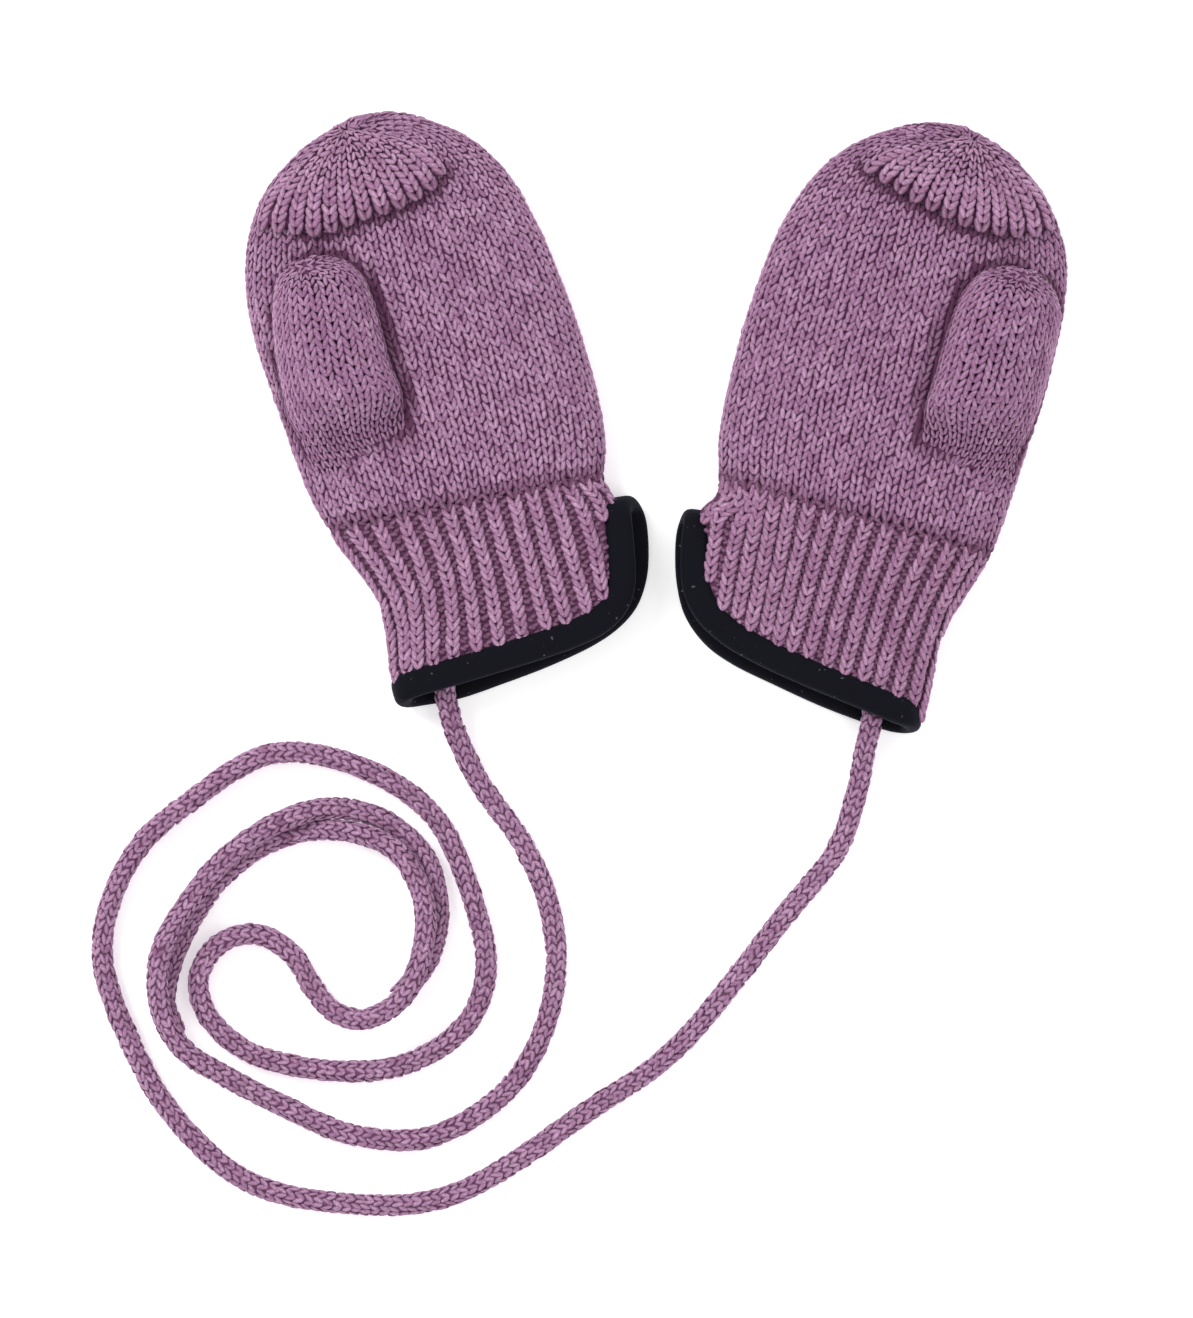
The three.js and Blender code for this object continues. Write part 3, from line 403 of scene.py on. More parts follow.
def thumb_over(m, u, v):
    """Height of the thumb over the palm at plan points; under zero beside it"""
    outer, inner, rise = thumb_row(m, np.minimum(v, 100.0))
    x = (2 * u - outer - inner) / (inner - outer)
    height = rise * thumb_ramp(v, x) * dome(np.minimum(np.abs(x), 1), THUMB_CROWN)
    return np.where((np.abs(x) < 1) & (v < THUMB_TIP), height, -1.0)


def thumb_cloth(m, inset=0.0, under=0.0):
    """Thumb: an arch over the palm whose wales run together near its top"""
    places = np.linspace(44.5, THUMB_END, 48)
    x = -np.cos(np.pi * np.arange(101) / 100)
    a_top, a_low = np.linspace(0, 1, 101), np.linspace(1, 2, 41)[1:]
    rings = []
    for v in places:
        outer, inner, rise = thumb_row(m, v)
        middle, reach = (outer + inner) / 2, (inner - outer) / 2 - inset
        arch = dome(x, THUMB_CROWN) * thumb_ramp(v, x)
        u = middle + reach * x
        base = palm_top(m, u, np.full_like(u, v)) + under
        crest = base + (rise - inset) * arch
        upper = even(np.stack([u, crest], -1), 100)
        lower = even(np.stack([u, np.minimum(base - 0.3, crest - 0.6)], -1)[::-1], 40)[1:]
        line = np.concatenate([upper, lower])
        rings.append(np.stack([line[:, 0], np.full(len(line), v), line[:, 1]], -1))
    first = rings[-1]
    gu, gv = m["thumb_gather"]
    g = np.array([gu, gv, palm_top(m, gu, gv) + 7.6 - inset])
    a = np.concatenate([a_top, a_low])
    quarter = np.array([0, 0.5, 1, 1.5, 2])
    push = np.interp(a, quarter, [8.5, 2.5, 8.5, 7, 8.5])
    pull = np.interp(a, quarter, [5.5, 2.2, 5.5, 3, 5.5])
    turn = np.radians(np.interp(a, quarter, [155, 270, 385, 450, 515]))
    away = np.stack([-0.35 * (first[:, 0] - gu) / 12, np.ones_like(a), np.zeros_like(a)], -1)
    p1 = first + unit(away) * push[:, None]
    p1[:, 2] -= np.interp(a, quarter, [0, 0.8, 0, 0, 0])
    p2 = g + np.stack([np.cos(turn), np.sin(turn), np.zeros_like(turn)], -1) * pull[:, None]
    p2[:, 2] -= np.interp(a, quarter, [1.8, -0.3, 1.8, 1.5, 1.8])
    t = np.linspace(0, 1, 26)[1:]
    grid = np.concatenate([np.array(rings), bezier(first, p1, p2, g, t)])
    return Cloth(np.concatenate([places, THUMB_END + CLOSING * t]), a, grid, True)


def fan_plan(m, c, r):
    """Plan point of the gathered tip: c across the ribs, r from the edge to the gather point"""
    edge = even(spline([(u, v, 0) for u, v in m["fan_edge"]], 20), 200)
    foot = np.stack([np.interp(c, np.linspace(0, 1, 201), edge[:, k]) for k in (0, 1)], -1)
    g = np.array(m["gather"])
    bend = foot + (g - foot) * np.array([0.15, 0.6])
    r = r[..., None]
    return foot * (1 - r) ** 2 + 2 * bend * r * (1 - r) + g * r * r


def fan_height(c, r):
    """Height of the gathered tip over the palm: rounded ribs that flatten towards the gather"""
    wave = np.abs(np.sin(np.pi * c * FAN_RIBS)) ** 0.7
    edge = np.clip(np.minimum(c, 1 - c) * 14, 0, 1)
    roll = np.clip(r * 9, 0, 1) ** 0.5
    return SEAM + (1 + wave) * (0.35 + 0.65 * edge) * (0.45 + 0.55 * roll) * (1 - 0.45 * r)


def fan_cloth(m, lift):
    c, r = np.linspace(0, 1, FAN_RIBS * 8 + 1), np.linspace(0, 0.985, 40)
    cc, rr = np.meshgrid(c, r)
    plan = fan_plan(m, cc, rr)
    u, v = plan[..., 0], plan[..., 1]
    base = np.stack([u, v, palm_top(m, u, v)], -1)
    return Cloth(r, c, base + palm_normal(m, u, v) * (fan_height(cc, rr) + lift)[..., None], False)


def hem_line(m, rows, u):
    """Place on the v axis where the cuff is cut off, over the u axis"""
    fold = (m["band_upper"][0][1] + m["band_under"][0][1]) / 2
    uu = [-60, rows[0][0] - 2, *[r[0] for r in rows], rows[-1][0] + 1, 80]
    vv = [fold, fold, *[r[1] for r in rows], rows[-1][1] + 3, rows[-1][1] + 3]
    return np.interp(u, uu, vv)


def cuff_cloth(m, inset=0.0, floor=0.0):
    """Cuff: rings from the hem to the seam, and for each wale the place where the hem cuts it"""
    places = np.linspace(-15, m["seam"] - SEAM / 2, 90)
    grid = np.array([mitten_ring(m, v, inset, floor) for v in places])
    over = np.where((RING_A <= 1)[None, :],
                    grid[..., 1] - hem_line(m, m["band_upper"], grid[..., 0]),
                    grid[..., 1] - hem_line(m, m["band_under"], grid[..., 0]))
    last = len(places) - 1
    cut = np.array([places[last - int(np.argmin(column[::-1] > 0))] for column in over.T])
    soft = np.convolve(np.concatenate([cut[-7:-1], cut, cut[1:7]]), np.ones(9) / 9, "same")[6:-6]
    cloth = Cloth(places, RING_A, grid, True)
    cloth.hem = lambda a: np.interp(np.mod(a, 2), RING_A, soft)
    return cloth


# ---- meshes ----

def place(m, points, vectors=False):
    """From a mitten's plan frame in mm to the row frame in metres"""
    scale = 1 if vectors else MM
    if m is None:
        return points * scale
    x, y = m["side"] * points[..., 0], points[..., 1]
    c, s = math.cos(m["lean"]), math.sin(m["lean"])
    ox, oy = (0, 0) if vectors else m["at"]
    return np.stack([x * c - y * s + ox, x * s + y * c + oy, points[..., 2]], -1) * scale


def finish_mesh(name, mesh, material):
    obj = bpy.data.objects.new(name, mesh)
    bpy.context.collection.objects.link(obj)
    mesh.materials.append(material)
    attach(obj, "root")
    return obj


def wrapped(name, shape, across, along, material):
    """A grid laid over shape(a, s), both 0 to 1, with its meeting edges joined and faces outward"""
    bm = bmesh.new()
    bmesh.ops.create_grid(bm, x_segments=across, y_segments=along, size=0.5)
    co = np.array([v.co[:2] for v in bm.verts]) + 0.5
    points = shape(co[:, 0], co[:, 1])
    for vert, point in zip(bm.verts, points):
        vert.co = point
    bmesh.ops.remove_doubles(bm, verts=bm.verts, dist=2e-6)
    bmesh.ops.dissolve_degenerate(bm, edges=bm.edges, dist=1e-7)
    bmesh.ops.recalc_face_normals(bm, faces=bm.faces)
    for face in bm.faces:
        face.smooth = True
    mesh = bpy.data.meshes.new(name)
    bm.to_mesh(mesh)
    bm.free()
    return finish_mesh(name, mesh, material)


def grain(around=6, rings=6, blunt=0.8, taper=0.1, bend=0.08):
    """Template of a leg of a stitch: a long bead with blunt ends on the y axis, thinner at its top"""
    bm = bmesh.new()
    bmesh.ops.create_uvsphere(bm, u_segments=around, v_segments=rings, radius=1,
                              matrix=Matrix.Rotation(math.radians(-90), 4, "X"))
    verts = np.array([v.co[:] for v in bm.verts])
    faces = [[v.index for v in f.verts] for f in bm.faces]
    bm.free()
    t = verts[:, 1]
    radius = np.hypot(verts[:, 0], verts[:, 2])
    top = np.where(radius > 1e-3, verts[:, 2] / np.maximum(radius, 1e-3), 0.5) * 0.5 + 0.5
    girth = np.maximum(radius, 1e-3) ** (blunt - 1) * (radius > 1e-3) * (1 - taper * t)
    verts[:, [0, 2]] *= girth[:, None]
    verts[:, 0] += bend * (0.5 - t * t)
    return verts, faces, top


def array_mesh(name, template, centre, x, y, z, tint, clear, material):
    """One mesh of many copies of a template, each on its own axes, in metres"""
    verts, faces, top = template
    count, size = len(centre), len(verts)
    points = (centre[:, None] + verts[None, :, 0:1] * x[:, None]
              + verts[None, :, 1:2] * y[:, None] + verts[None, :, 2:3] * z[:, None])
    plain = np.concatenate(faces)
    turned = np.concatenate([f[::-1] for f in faces])
    starts = np.concatenate([[0], np.cumsum([len(f) for f in faces])[:-1]])
    inside_out = np.einsum("ij,ij->i", np.cross(x, y), z) < 0
    loops = np.where(inside_out[:, None], turned[None], plain[None])
    loops = loops + (np.arange(count) * size)[:, None]
    mesh = bpy.data.meshes.new(name)
    mesh.vertices.add(count * size)
    mesh.vertices.foreach_set("co", points.ravel().astype(np.float32))
    mesh.loops.add(count * len(plain))
    mesh.loops.foreach_set("vertex_index", loops.ravel().astype(np.int32))
    mesh.polygons.add(count * len(faces))
    offsets = (starts[None] + (np.arange(count) * len(plain))[:, None]).ravel()
    mesh.polygons.foreach_set("loop_start", offsets.astype(np.int32))
    mesh.update(calc_edges=True)
    mesh.validate()
    mesh.polygons.foreach_set("use_smooth", np.ones(len(mesh.polygons), bool))
    # strand: red is the tint of each stitch (with the painted rim highlight), green its share out of
    # the painted shade (height on the leg times clear), blue the place along the leg plus the tint,
    # alpha the place around it
    strand = np.ones((count, size, 4), np.float32)
    strand[..., 0] = tint[:, None]
    strand[..., 1] = top[None] * clear[:, None]
    strand[..., 2] = (verts[:, 1] * 0.5 + 0.5)[None] + tint[:, None] * 7
    strand[..., 3] = (np.arctan2(verts[:, 2], verts[:, 0]) / np.pi)[None]
    mesh.attributes.new("strand", "FLOAT_COLOR", "POINT").data.foreach_set("color", strand.ravel())
    return finish_mesh(name, mesh, material)


class Yarn:
    """Collects legs of stitches, then turns them into one mesh"""

    def __init__(self, m, tone=0.0):
        self.m, self.parts, self.tone = m, [], tone

    def add(self, centre, x, y, z, tint, clear=1.0):
        self.parts.append((centre, x, y, z, tint, np.broadcast_to(clear, len(tint))))

    def legs(self, axes, width, half, tilt, dive, lift, lean=0.0, jitter=1.0, clear=1.0):
        """Both legs of each stitch: half is their (width, length, height) in mm, axes what
        Cloth.frame gives, and clear how far the stitch is out of the shade of a crease"""
        p, across, along, normal = axes
        n = len(p)
        scale = (width / STITCH_WIDTH)[:, None]
        # painted highlight: stitches seen edge-on get a lighter tint, for the light their fuzz
        # catches at the rim; the rest is each stitch's own random tone
        shade = rng.normal(0, 0.16, n) + 0.55 * np.clip(1 - np.abs(normal[:, 2]) / 0.5, 0, 1)
        for q in (-1, 1):
            splay = tilt * np.clip(width / STITCH_WIDTH, 0.3, 1.1)
            angle = np.radians(splay + rng.normal(0, 3.5 * jitter, n))[:, None]
            sunk = np.radians(dive + rng.normal(0, 3 * jitter, n))[:, None]
            side = math.radians(lean) * q
            up = normal * math.cos(side) + across * math.sin(side)
            wide = across * math.cos(side) - normal * math.sin(side)
            y = along * np.cos(angle) + wide * q * np.sin(angle)
            x = (wide * np.cos(angle) - along * q * np.sin(angle)) * q
            y, up = y * np.cos(sunk) - up * np.sin(sunk), up * np.cos(sunk) + y * np.sin(sunk)
            centre = (p + across * (q * 0.25 * width)[:, None]
                      + normal * (lift + rng.normal(0, 0.05 * jitter, n))[:, None]
                      + along * rng.normal(0, 0.09 * jitter, n)[:, None]
                      + across * rng.normal(0, 0.06 * jitter, n)[:, None])
            long = half[1] * (1 + rng.normal(0, 0.05 * jitter, n))[:, None]
            fat = np.minimum(scale, 1.15) * (1 + rng.normal(0, 0.05 * jitter, n))[:, None]
            tint = np.clip(0.5 + self.tone + shade + rng.normal(0, 0.12, n), 0, 1)
            self.add(centre, x * half[0] * fat, y * long * np.clip(scale, 0.8, 1.1),
                     up * half[2] * np.minimum(fat, 1.05), tint, clear)

    def mesh(self, name, template, material, slot):
        centre, x, y, z, tint, clear = (np.concatenate(column) for column in zip(*self.parts))
        return array_mesh(name, template, place(self.m, centre),
                          place(self.m, x, True) * MM, place(self.m, y, True) * MM,
                          place(self.m, z, True) * MM, tint, clear, material)


# ---- materials ----

# Sizes of the patterns in mm
DYE_CLOUD = 18.18
HEATHER_FLECK = 0.5882
BACK_OF_STITCH = 1.1111
PILE_TUFT = 0.3846
BRUSH_MARK = 7.692
LINT_SPECK = 0.9091
PAPER_GRAIN = 2.5


def per(size):
    """Scale of a pattern on Object coordinates whose features are size mm wide"""
    return 1 / (size * MM)


def linear(text):
    """sRGB hex colour to a linear one"""
    parts = [int(text[i:i + 2], 16) / 255 for i in (1, 3, 5)]
    return [p / 12.92 if p <= 0.04045 else ((p + 0.055) / 1.055) ** 2.4 for p in parts] + [1.0]


def fill(node, inputs):
    """Sets a node's inputs to values or links them to other nodes' outputs"""
    for key, value in inputs.items():
        if isinstance(value, bpy.types.NodeSocket):
            node.id_data.links.new(value, node.inputs[key])
        else:
            node.inputs[key].default_value = value


def add_node(tree, kind, inputs=None, **settings):
    """Adds a node, sets its properties and fills or links its inputs"""
    node = tree.nodes.new(kind)
    for key, value in settings.items():
        setattr(node, key, value)
    fill(node, inputs or {})
    return node


def weighted_sum(tree, *terms, start=0.0):
    """Outputs added up, each times its share"""
    for output, share in terms:
        start = add_node(tree, "ShaderNodeMath", {0: output, 1: share, 2: start},
                         operation="MULTIPLY_ADD").outputs[0]
    return start


def new_material(name):
    material = bpy.data.materials.new(name)
    material.use_nodes = True
    return material, material.node_tree, material.node_tree.nodes["Principled BSDF"]


def wool(name, light, middle, dark):
    """Heather wool yarn, spun from mixed pale and dark fibres and left matt: soft plied strands,
    flecked all over, each stitch a little lighter or darker. Painted shade makes it darkest
    where a leg dives and in creases, and its tint carries a painted highlight at the rim"""
    material, tree, shader = new_material(name)
    strand = add_node(tree, "ShaderNodeAttribute", attribute_name="strand")
    split = add_node(tree, "ShaderNodeSeparateColor", {0: strand.outputs["Color"]})
    # tint: each stitch's own tone with the painted rim highlight; depth: its share out of the painted
    # shade
    tint, depth, along = (split.outputs[i] for i in range(3))
    around = strand.outputs["Alpha"]
    place_at = add_node(tree, "ShaderNodeTexCoord").outputs["Object"]
    # fibres run along the leg, with the slant of two plies twisted together
    slant = weighted_sum(tree, (along, 3.2), (around, 1.6))
    strand_at = add_node(tree, "ShaderNodeCombineXYZ", {0: slant, 1: around, 2: tint}).outputs[0]
    fibre_at = add_node(tree, "ShaderNodeVectorMath", {0: strand_at, 1: (1.1, 4.5, 40.0)},
                        operation="MULTIPLY").outputs[0]
    fibre = add_node(tree, "ShaderNodeTexNoise", {"Vector": fibre_at, "Scale": 1.0, "Detail": 3.0,
                                                  "Roughness": 0.6}).outputs["Fac"]
    turns = add_node(tree, "ShaderNodeMath", {0: slant, 1: 6.0}, operation="MULTIPLY").outputs[0]
    wave = add_node(tree, "ShaderNodeMath", {0: turns}, operation="SINE").outputs[0]
    ply = add_node(tree, "ShaderNodeMath", {0: wave}, operation="ABSOLUTE").outputs[0]
    cloud, fleck = (add_node(tree, "ShaderNodeTexNoise", {
        "Vector": place_at, "Scale": per(size), "Detail": detail}).outputs["Fac"]
        for size, detail in ((DYE_CLOUD, 2.0), (HEATHER_FLECK, 3.0)))
    tone = weighted_sum(tree, (tint, 0.75), (cloud, 0.25), (fleck, 1.6), start=-0.8)
    colour = add_node(tree, "ShaderNodeMix", {0: tone, 6: linear(middle), 7: linear(light)},
                      data_type="RGBA").outputs[2]
    # painted shade: darker where a leg goes down between its neighbours and where a crease shades it;
    # also darker in the gaps between the fibres
    for value, low, high, most in ((depth, 0.56, 0.93, 0.95), (fibre, 0.36, 0.6, 0.4)):
        share = add_node(tree, "ShaderNodeMapRange",
                         {0: value, 1: low, 2: high, 3: most, 4: 0.0}).outputs[0]
        colour = add_node(tree, "ShaderNodeMix", {0: share, 6: colour, 7: linear(dark)},
                          data_type="RGBA").outputs[2]
    height = weighted_sum(tree, (fibre, 0.6), (ply, 0.5))
    bump = add_node(tree, "ShaderNodeBump",
                    {"Strength": 0.6, "Distance": 0.00018, "Height": height})
    fill(shader, {"Base Color": colour, "Normal": bump.outputs[0], "Roughness": 0.92,
                  "Specular IOR Level": 0.15, "Sheen Weight": 0.5, "Sheen Roughness": 0.45,
                  "Sheen Tint": linear("#e2c6de")})
    return material


def shaded_stitch_backs(name, colour, dark):
    """Backs of the stitches: the ground seen between the legs, and the flat underside. Their
    darker colour is painted shade
    """
    material, tree, shader = new_material(name)
    place_at = add_node(tree, "ShaderNodeTexCoord").outputs["Object"]
    scale = per(BACK_OF_STITCH)
    mottle = add_node(tree, "ShaderNodeTexNoise",
                      {"Vector": place_at, "Scale": scale, "Detail": 3.0}).outputs["Fac"]
    cells = add_node(tree, "ShaderNodeTexVoronoi",
                     {"Vector": place_at, "Scale": scale / 2}).outputs["Distance"]
    shade = add_node(tree, "ShaderNodeMix", {0: mottle, 6: linear(dark), 7: linear(colour)},
                     data_type="RGBA").outputs[2]
    bump = add_node(tree, "ShaderNodeBump", {"Strength": 0.8, "Distance": 0.0004, "Height": cells})
    fill(shader, {"Base Color": shade, "Normal": bump.outputs[0], "Roughness": 0.95,
                  "Specular IOR Level": 0.1})
    return material


def velour_cloth():
    """Short-pile velour, brushed: near-black blue, a faint sheen, a few pale specks of lint"""
    material, tree, shader = new_material("navy-black velour")
    place_at = add_node(tree, "ShaderNodeTexCoord").outputs["Object"]
    pile, brushed, specks = (add_node(tree, "ShaderNodeTexNoise", {
        "Vector": place_at, "Scale": per(size), "Detail": detail}).outputs["Fac"]
        for size, detail in ((PILE_TUFT, 2.0), (BRUSH_MARK, 3.0), (LINT_SPECK, 0.0)))
    tone = weighted_sum(tree, (pile, 0.5), (brushed, 0.6))
    lint = add_node(tree, "ShaderNodeMapRange",
                    {0: specks, 1: 0.8, 2: 0.86, 3: 0.0, 4: 0.3}).outputs[0]
    colour = add_node(tree, "ShaderNodeMix",
                      {0: tone, 6: linear("#07070d"), 7: linear("#10101a")},
                      data_type="RGBA").outputs[2]
    colour = add_node(tree, "ShaderNodeMix", {0: lint, 6: colour, 7: linear("#8d8c9c")},
                      data_type="RGBA").outputs[2]
    bump = add_node(tree, "ShaderNodeBump", {"Strength": 0.35, "Distance": 0.0001, "Height": pile})
    fill(shader, {"Base Color": colour, "Normal": bump.outputs[0], "Roughness": 0.85,
                  "Specular IOR Level": 0.12, "Sheen Weight": 0.16, "Sheen Roughness": 0.55,
                  "Sheen Tint": linear("#5a5f7a")})
    return material


# the last colour of each yarn is that of its dark fibres and of its painted shade
YARN = wool("heather wool yarn", "#d5abcd", "#9d6c94", "#5b2e4e")
RIB_YARN = wool("heather wool yarn of the ribs", "#d8adcf", "#a37297", "#5a2e4c")
# painted shade: the grounds are darker copies of the yarns, for the shade between the legs and inside
# the cord
GROUND = shaded_stitch_backs("backs of the plain stitches in painted shade", "#85527a", "#5c3251")
RIB_GROUND = shaded_stitch_backs("backs of the rib stitches in painted shade", "#77496d", "#502c47")
CORD_GROUND = shaded_stitch_backs("inside of the knitted cord in painted shade", "#8c5980", "#6a3f60")
VELOUR = velour_cloth()


# ---- camera ----

PICTURE = (286.3, 316.3)
AIM = Vector((-14.28 * MM, -56.88 * MM, 0.008))
camera_data = bpy.data.cameras.new("camera")
camera = bpy.data.objects.new("camera", camera_data)
bpy.context.collection.objects.link(camera)
bpy.context.scene.camera = camera
DISTANCE = 1.3
camera_data.sensor_width = 36
camera_data.lens = 36 * DISTANCE / (PICTURE[1] * MM)
camera.location = AIM + Vector((0, 0, DISTANCE))
camera_data.clip_start, camera_data.clip_end = 0.05, 10


# ---- cords ----

def cord_cloth(route, radius):
    """Tube round a route, with its a axis turning slowly as the knitted tube twists"""
    dense = spline(route, 24)
    length = float(np.linalg.norm(np.diff(dense, axis=0), axis=1).sum())
    line = even(dense, int(length))
    tangent = unit(np.gradient(line, axis=0))
    side = np.zeros_like(line)
    side[0] = unit(np.cross(tangent[0], [0, 0, 1.0]))
    for i in range(1, len(line)):
        side[i] = unit(side[i - 1] - tangent[i] * np.dot(side[i - 1], tangent[i]))
    up = np.cross(side, tangent)
    s = np.linspace(0, length, len(line))
    a = np.linspace(0, 2, 33)
    turn = np.pi * a[None, :] + 2 * np.pi * s[:, None] / CORD_TWIST
    around = np.cos(turn)[..., None] * side[:, None] - np.sin(turn)[..., None] * up[:, None]
    return Cloth(s, a, line[:, None] + radius * around, True), line, length


def build_cord(name, route):
    cloth, line, length = cord_cloth(route, CORD_DIAMETER / 2 - 0.55)

    def skin(x, y):
        s = y * length
        cap = np.minimum(np.minimum(s, length - s) / 1.5, 1)
        rounded = np.sqrt(np.clip(1 - (1 - cap) ** 2, 0, 1))[:, None]
        centre = np.stack([np.interp(s, cloth.s, line[:, k]) for k in range(3)], -1)
        return (centre + (cloth.at(s, x * 2) - centre) * rounded) * MM

    core = wrapped(f"{name}_core", skin, 12, int(length / 2.2), CORD_GROUND)
    yarn = Yarn(None, 0.12)
    for k in range(CORD_WALES):
        a = (k + 0.5) * 2 / CORD_WALES
        s = cloth.rows(a, 0.8, length - 0.8, CORD_ROW) + (k % 2) * 0.6
        aa = np.full_like(s, a)
        shown = cloth.frame(s, aa)[3][:, 2] > -0.72
        s, aa = s[shown], aa[shown]
        yarn.legs(cloth.frame(s, aa), np.full_like(s, 2.35), CORD_LEG, 25, 7, 0.0, jitter=1.3)
    legs = yarn.mesh(f"{name}_stitches", grain(6, 5), YARN, "knitted_cord")
    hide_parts(name)


build_cord("cord_left", LEFT_CORD)
build_cord("cord_right", RIGHT_CORD)


# ---- mittens ----

def tube(outer, inner, s_range, inner_range):
    """Shell of a tube closed at its far end: out along the inside and back along the outside"""
    def shape(x, y):
        a = x * 2
        t = np.abs(y * 2 - 1)
        inside = inner.at(inner_range[0] + (inner_range[1] - inner_range[0]) * t, a)
        outside = outer.at(s_range[0] + (s_range[1] - s_range[0]) * t, a)
        return np.where((y < 0.5)[:, None], inside, outside)
    return shape


def inside_polygon(points, polygon):
    """Which plan points lie in a polygon"""
    found = np.zeros(len(points), bool)
    for (x0, y0), (x1, y1) in zip(polygon, np.roll(polygon, -1, axis=0)):
        crosses = (y0 > points[:, 1]) != (y1 > points[:, 1])
        reach = (x1 - x0) * (points[:, 1] - y0) / (y1 - y0 + 1e-12) + x0
        found ^= crosses & (points[:, 0] < reach)
    return found


def near(points, line):
    """Plan distance from points to the nearest of a line's closely set points"""
    gap = points[:, None, :2] - line[None, :, :2]
    return np.sqrt((gap ** 2).sum(-1)).min(1)


def joined(k, width):
    """How many wales run into one where they narrow, and whether wale k is one that goes on"""
    share = np.clip(np.round(np.log2(np.maximum(0.62 * STITCH_WIDTH / width, 1))), 0, 3)
    merged = (2 ** share).astype(int)
    return merged, k % merged == 0


def build_hand(m):
    outer, inner = hand_cloth(m, 0.8, 0.3), hand_cloth(m, 2.0, 1.5)
    ends = (m["seam"], PALM_END + CLOSING)
    shape = tube(outer, inner, ends, ends)
    core = wrapped(f"hand_{m['name']}_cloth", lambda x, y: place(m, shape(x, y)), 96, 150,
                   GROUND)
    cloth = hand_cloth(m)
    arc = np.linalg.norm(np.diff(cloth.grid[32], axis=0), axis=1)
    top, low = arc[:160].sum(), arc[160:].sum()
    count = int(round(top / STITCH_WIDTH))
    wales = [((k + 0.5) / count, 1 / count, k) for k in range(count)]
    for k in range(2):
        share = STITCH_WIDTH / low
        wales += [(1 + (k + 0.5) * share, share, k), (2 - (k + 0.5) * share, share, k)]
    edge = even(spline([(u, v, 0) for u, v in m["fan_edge"]], 12), 60)[:, :2]
    g = np.array(m["gather"])
    covered = np.concatenate([edge + unit(g - edge) * 2.4, [g]])
    # painted shade: the right hand's yarn is given a darker tone than the left's
    yarn = Yarn(m, 0.02 if m is LEFT else -0.1)
    tip_share = 1 / PALM_TIP_WALES
    wales += [(1 + (k + 0.5) * tip_share, tip_share, k) for k in range(1, PALM_TIP_WALES - 1)]
    for a, share, k in wales:
        tip_only = share == tip_share
        start = 108.0 if tip_only else m["seam"] + 0.2
        s = cloth.rows(a, start, PALM_END + CLOSING - 0.4, STITCH_ROW, 0.4)
        sway = 0.0026 * np.sin(s * 0.17 + k * 0.5) + 0.0016 * np.sin(s * 0.47 + k * 1.7)
        aa = a + sway * (not tip_only)
        width = cloth.wide(s, aa, share)
        merged, keep = joined(k, width)
        p = cloth.at(s, aa)
        keep &= (not tip_only) | (cloth.frame(s, aa)[3][:, 2] > -0.9)
        top_side = p[:, 2] > SIDE_HEIGHT
        keep &= ~(top_side & inside_polygon(p, covered))
        covering = thumb_over(m, p[:, 0], p[:, 1])
        keep &= ~(top_side & (covering > np.where(p[:, 1] < 58, 0.5, 4.5)))
        s, aa, width, p = s[keep], aa[keep], (width * merged)[keep], p[keep]
        if not len(s):
            continue
        # painted shade, through clear: palm stitches beside the thumb, along the lower edge of the
        # gathered tip and at the seam with the cuff are darkened
        outer_side, inner_side, _ = thumb_row(m, p[:, 1])
        beside = np.maximum(np.maximum(p[:, 0] - inner_side, 1.8 * (outer_side - p[:, 0])), 0)
        beside = np.hypot(beside, 1.5 * np.maximum(p[:, 1] - 100.4, 0))
        shaded = np.where(p[:, 1] > 99, 0.35, np.where(p[:, 0] < outer_side, 0.5, 0.58))
        crease = shaded * np.exp(-(beside / 2.3) ** 2) * np.clip((p[:, 1] - 50) / 6, 0, 1)
        fold = np.clip((p[:, 0] - edge[0, 0] - 4) / 8, 0, 1)
        crease = np.maximum(crease, 0.4 * fold * np.exp(-(near(p, edge) / 1.6) ** 2))
        crease = np.maximum(crease, 0.35 * np.exp(-((s - m["seam"]) / 1.2) ** 2))
        yarn.legs(cloth.frame(s, aa), width, PALM_LEG, 19, 5, -0.42, jitter=1.2,
                  clear=1 - crease * (p[:, 2] > SIDE_HEIGHT))
    legs = yarn.mesh(f"hand_{m['name']}_stitches", grain(), YARN, "plain_knit")
    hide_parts(f"hand_{m['name']}")


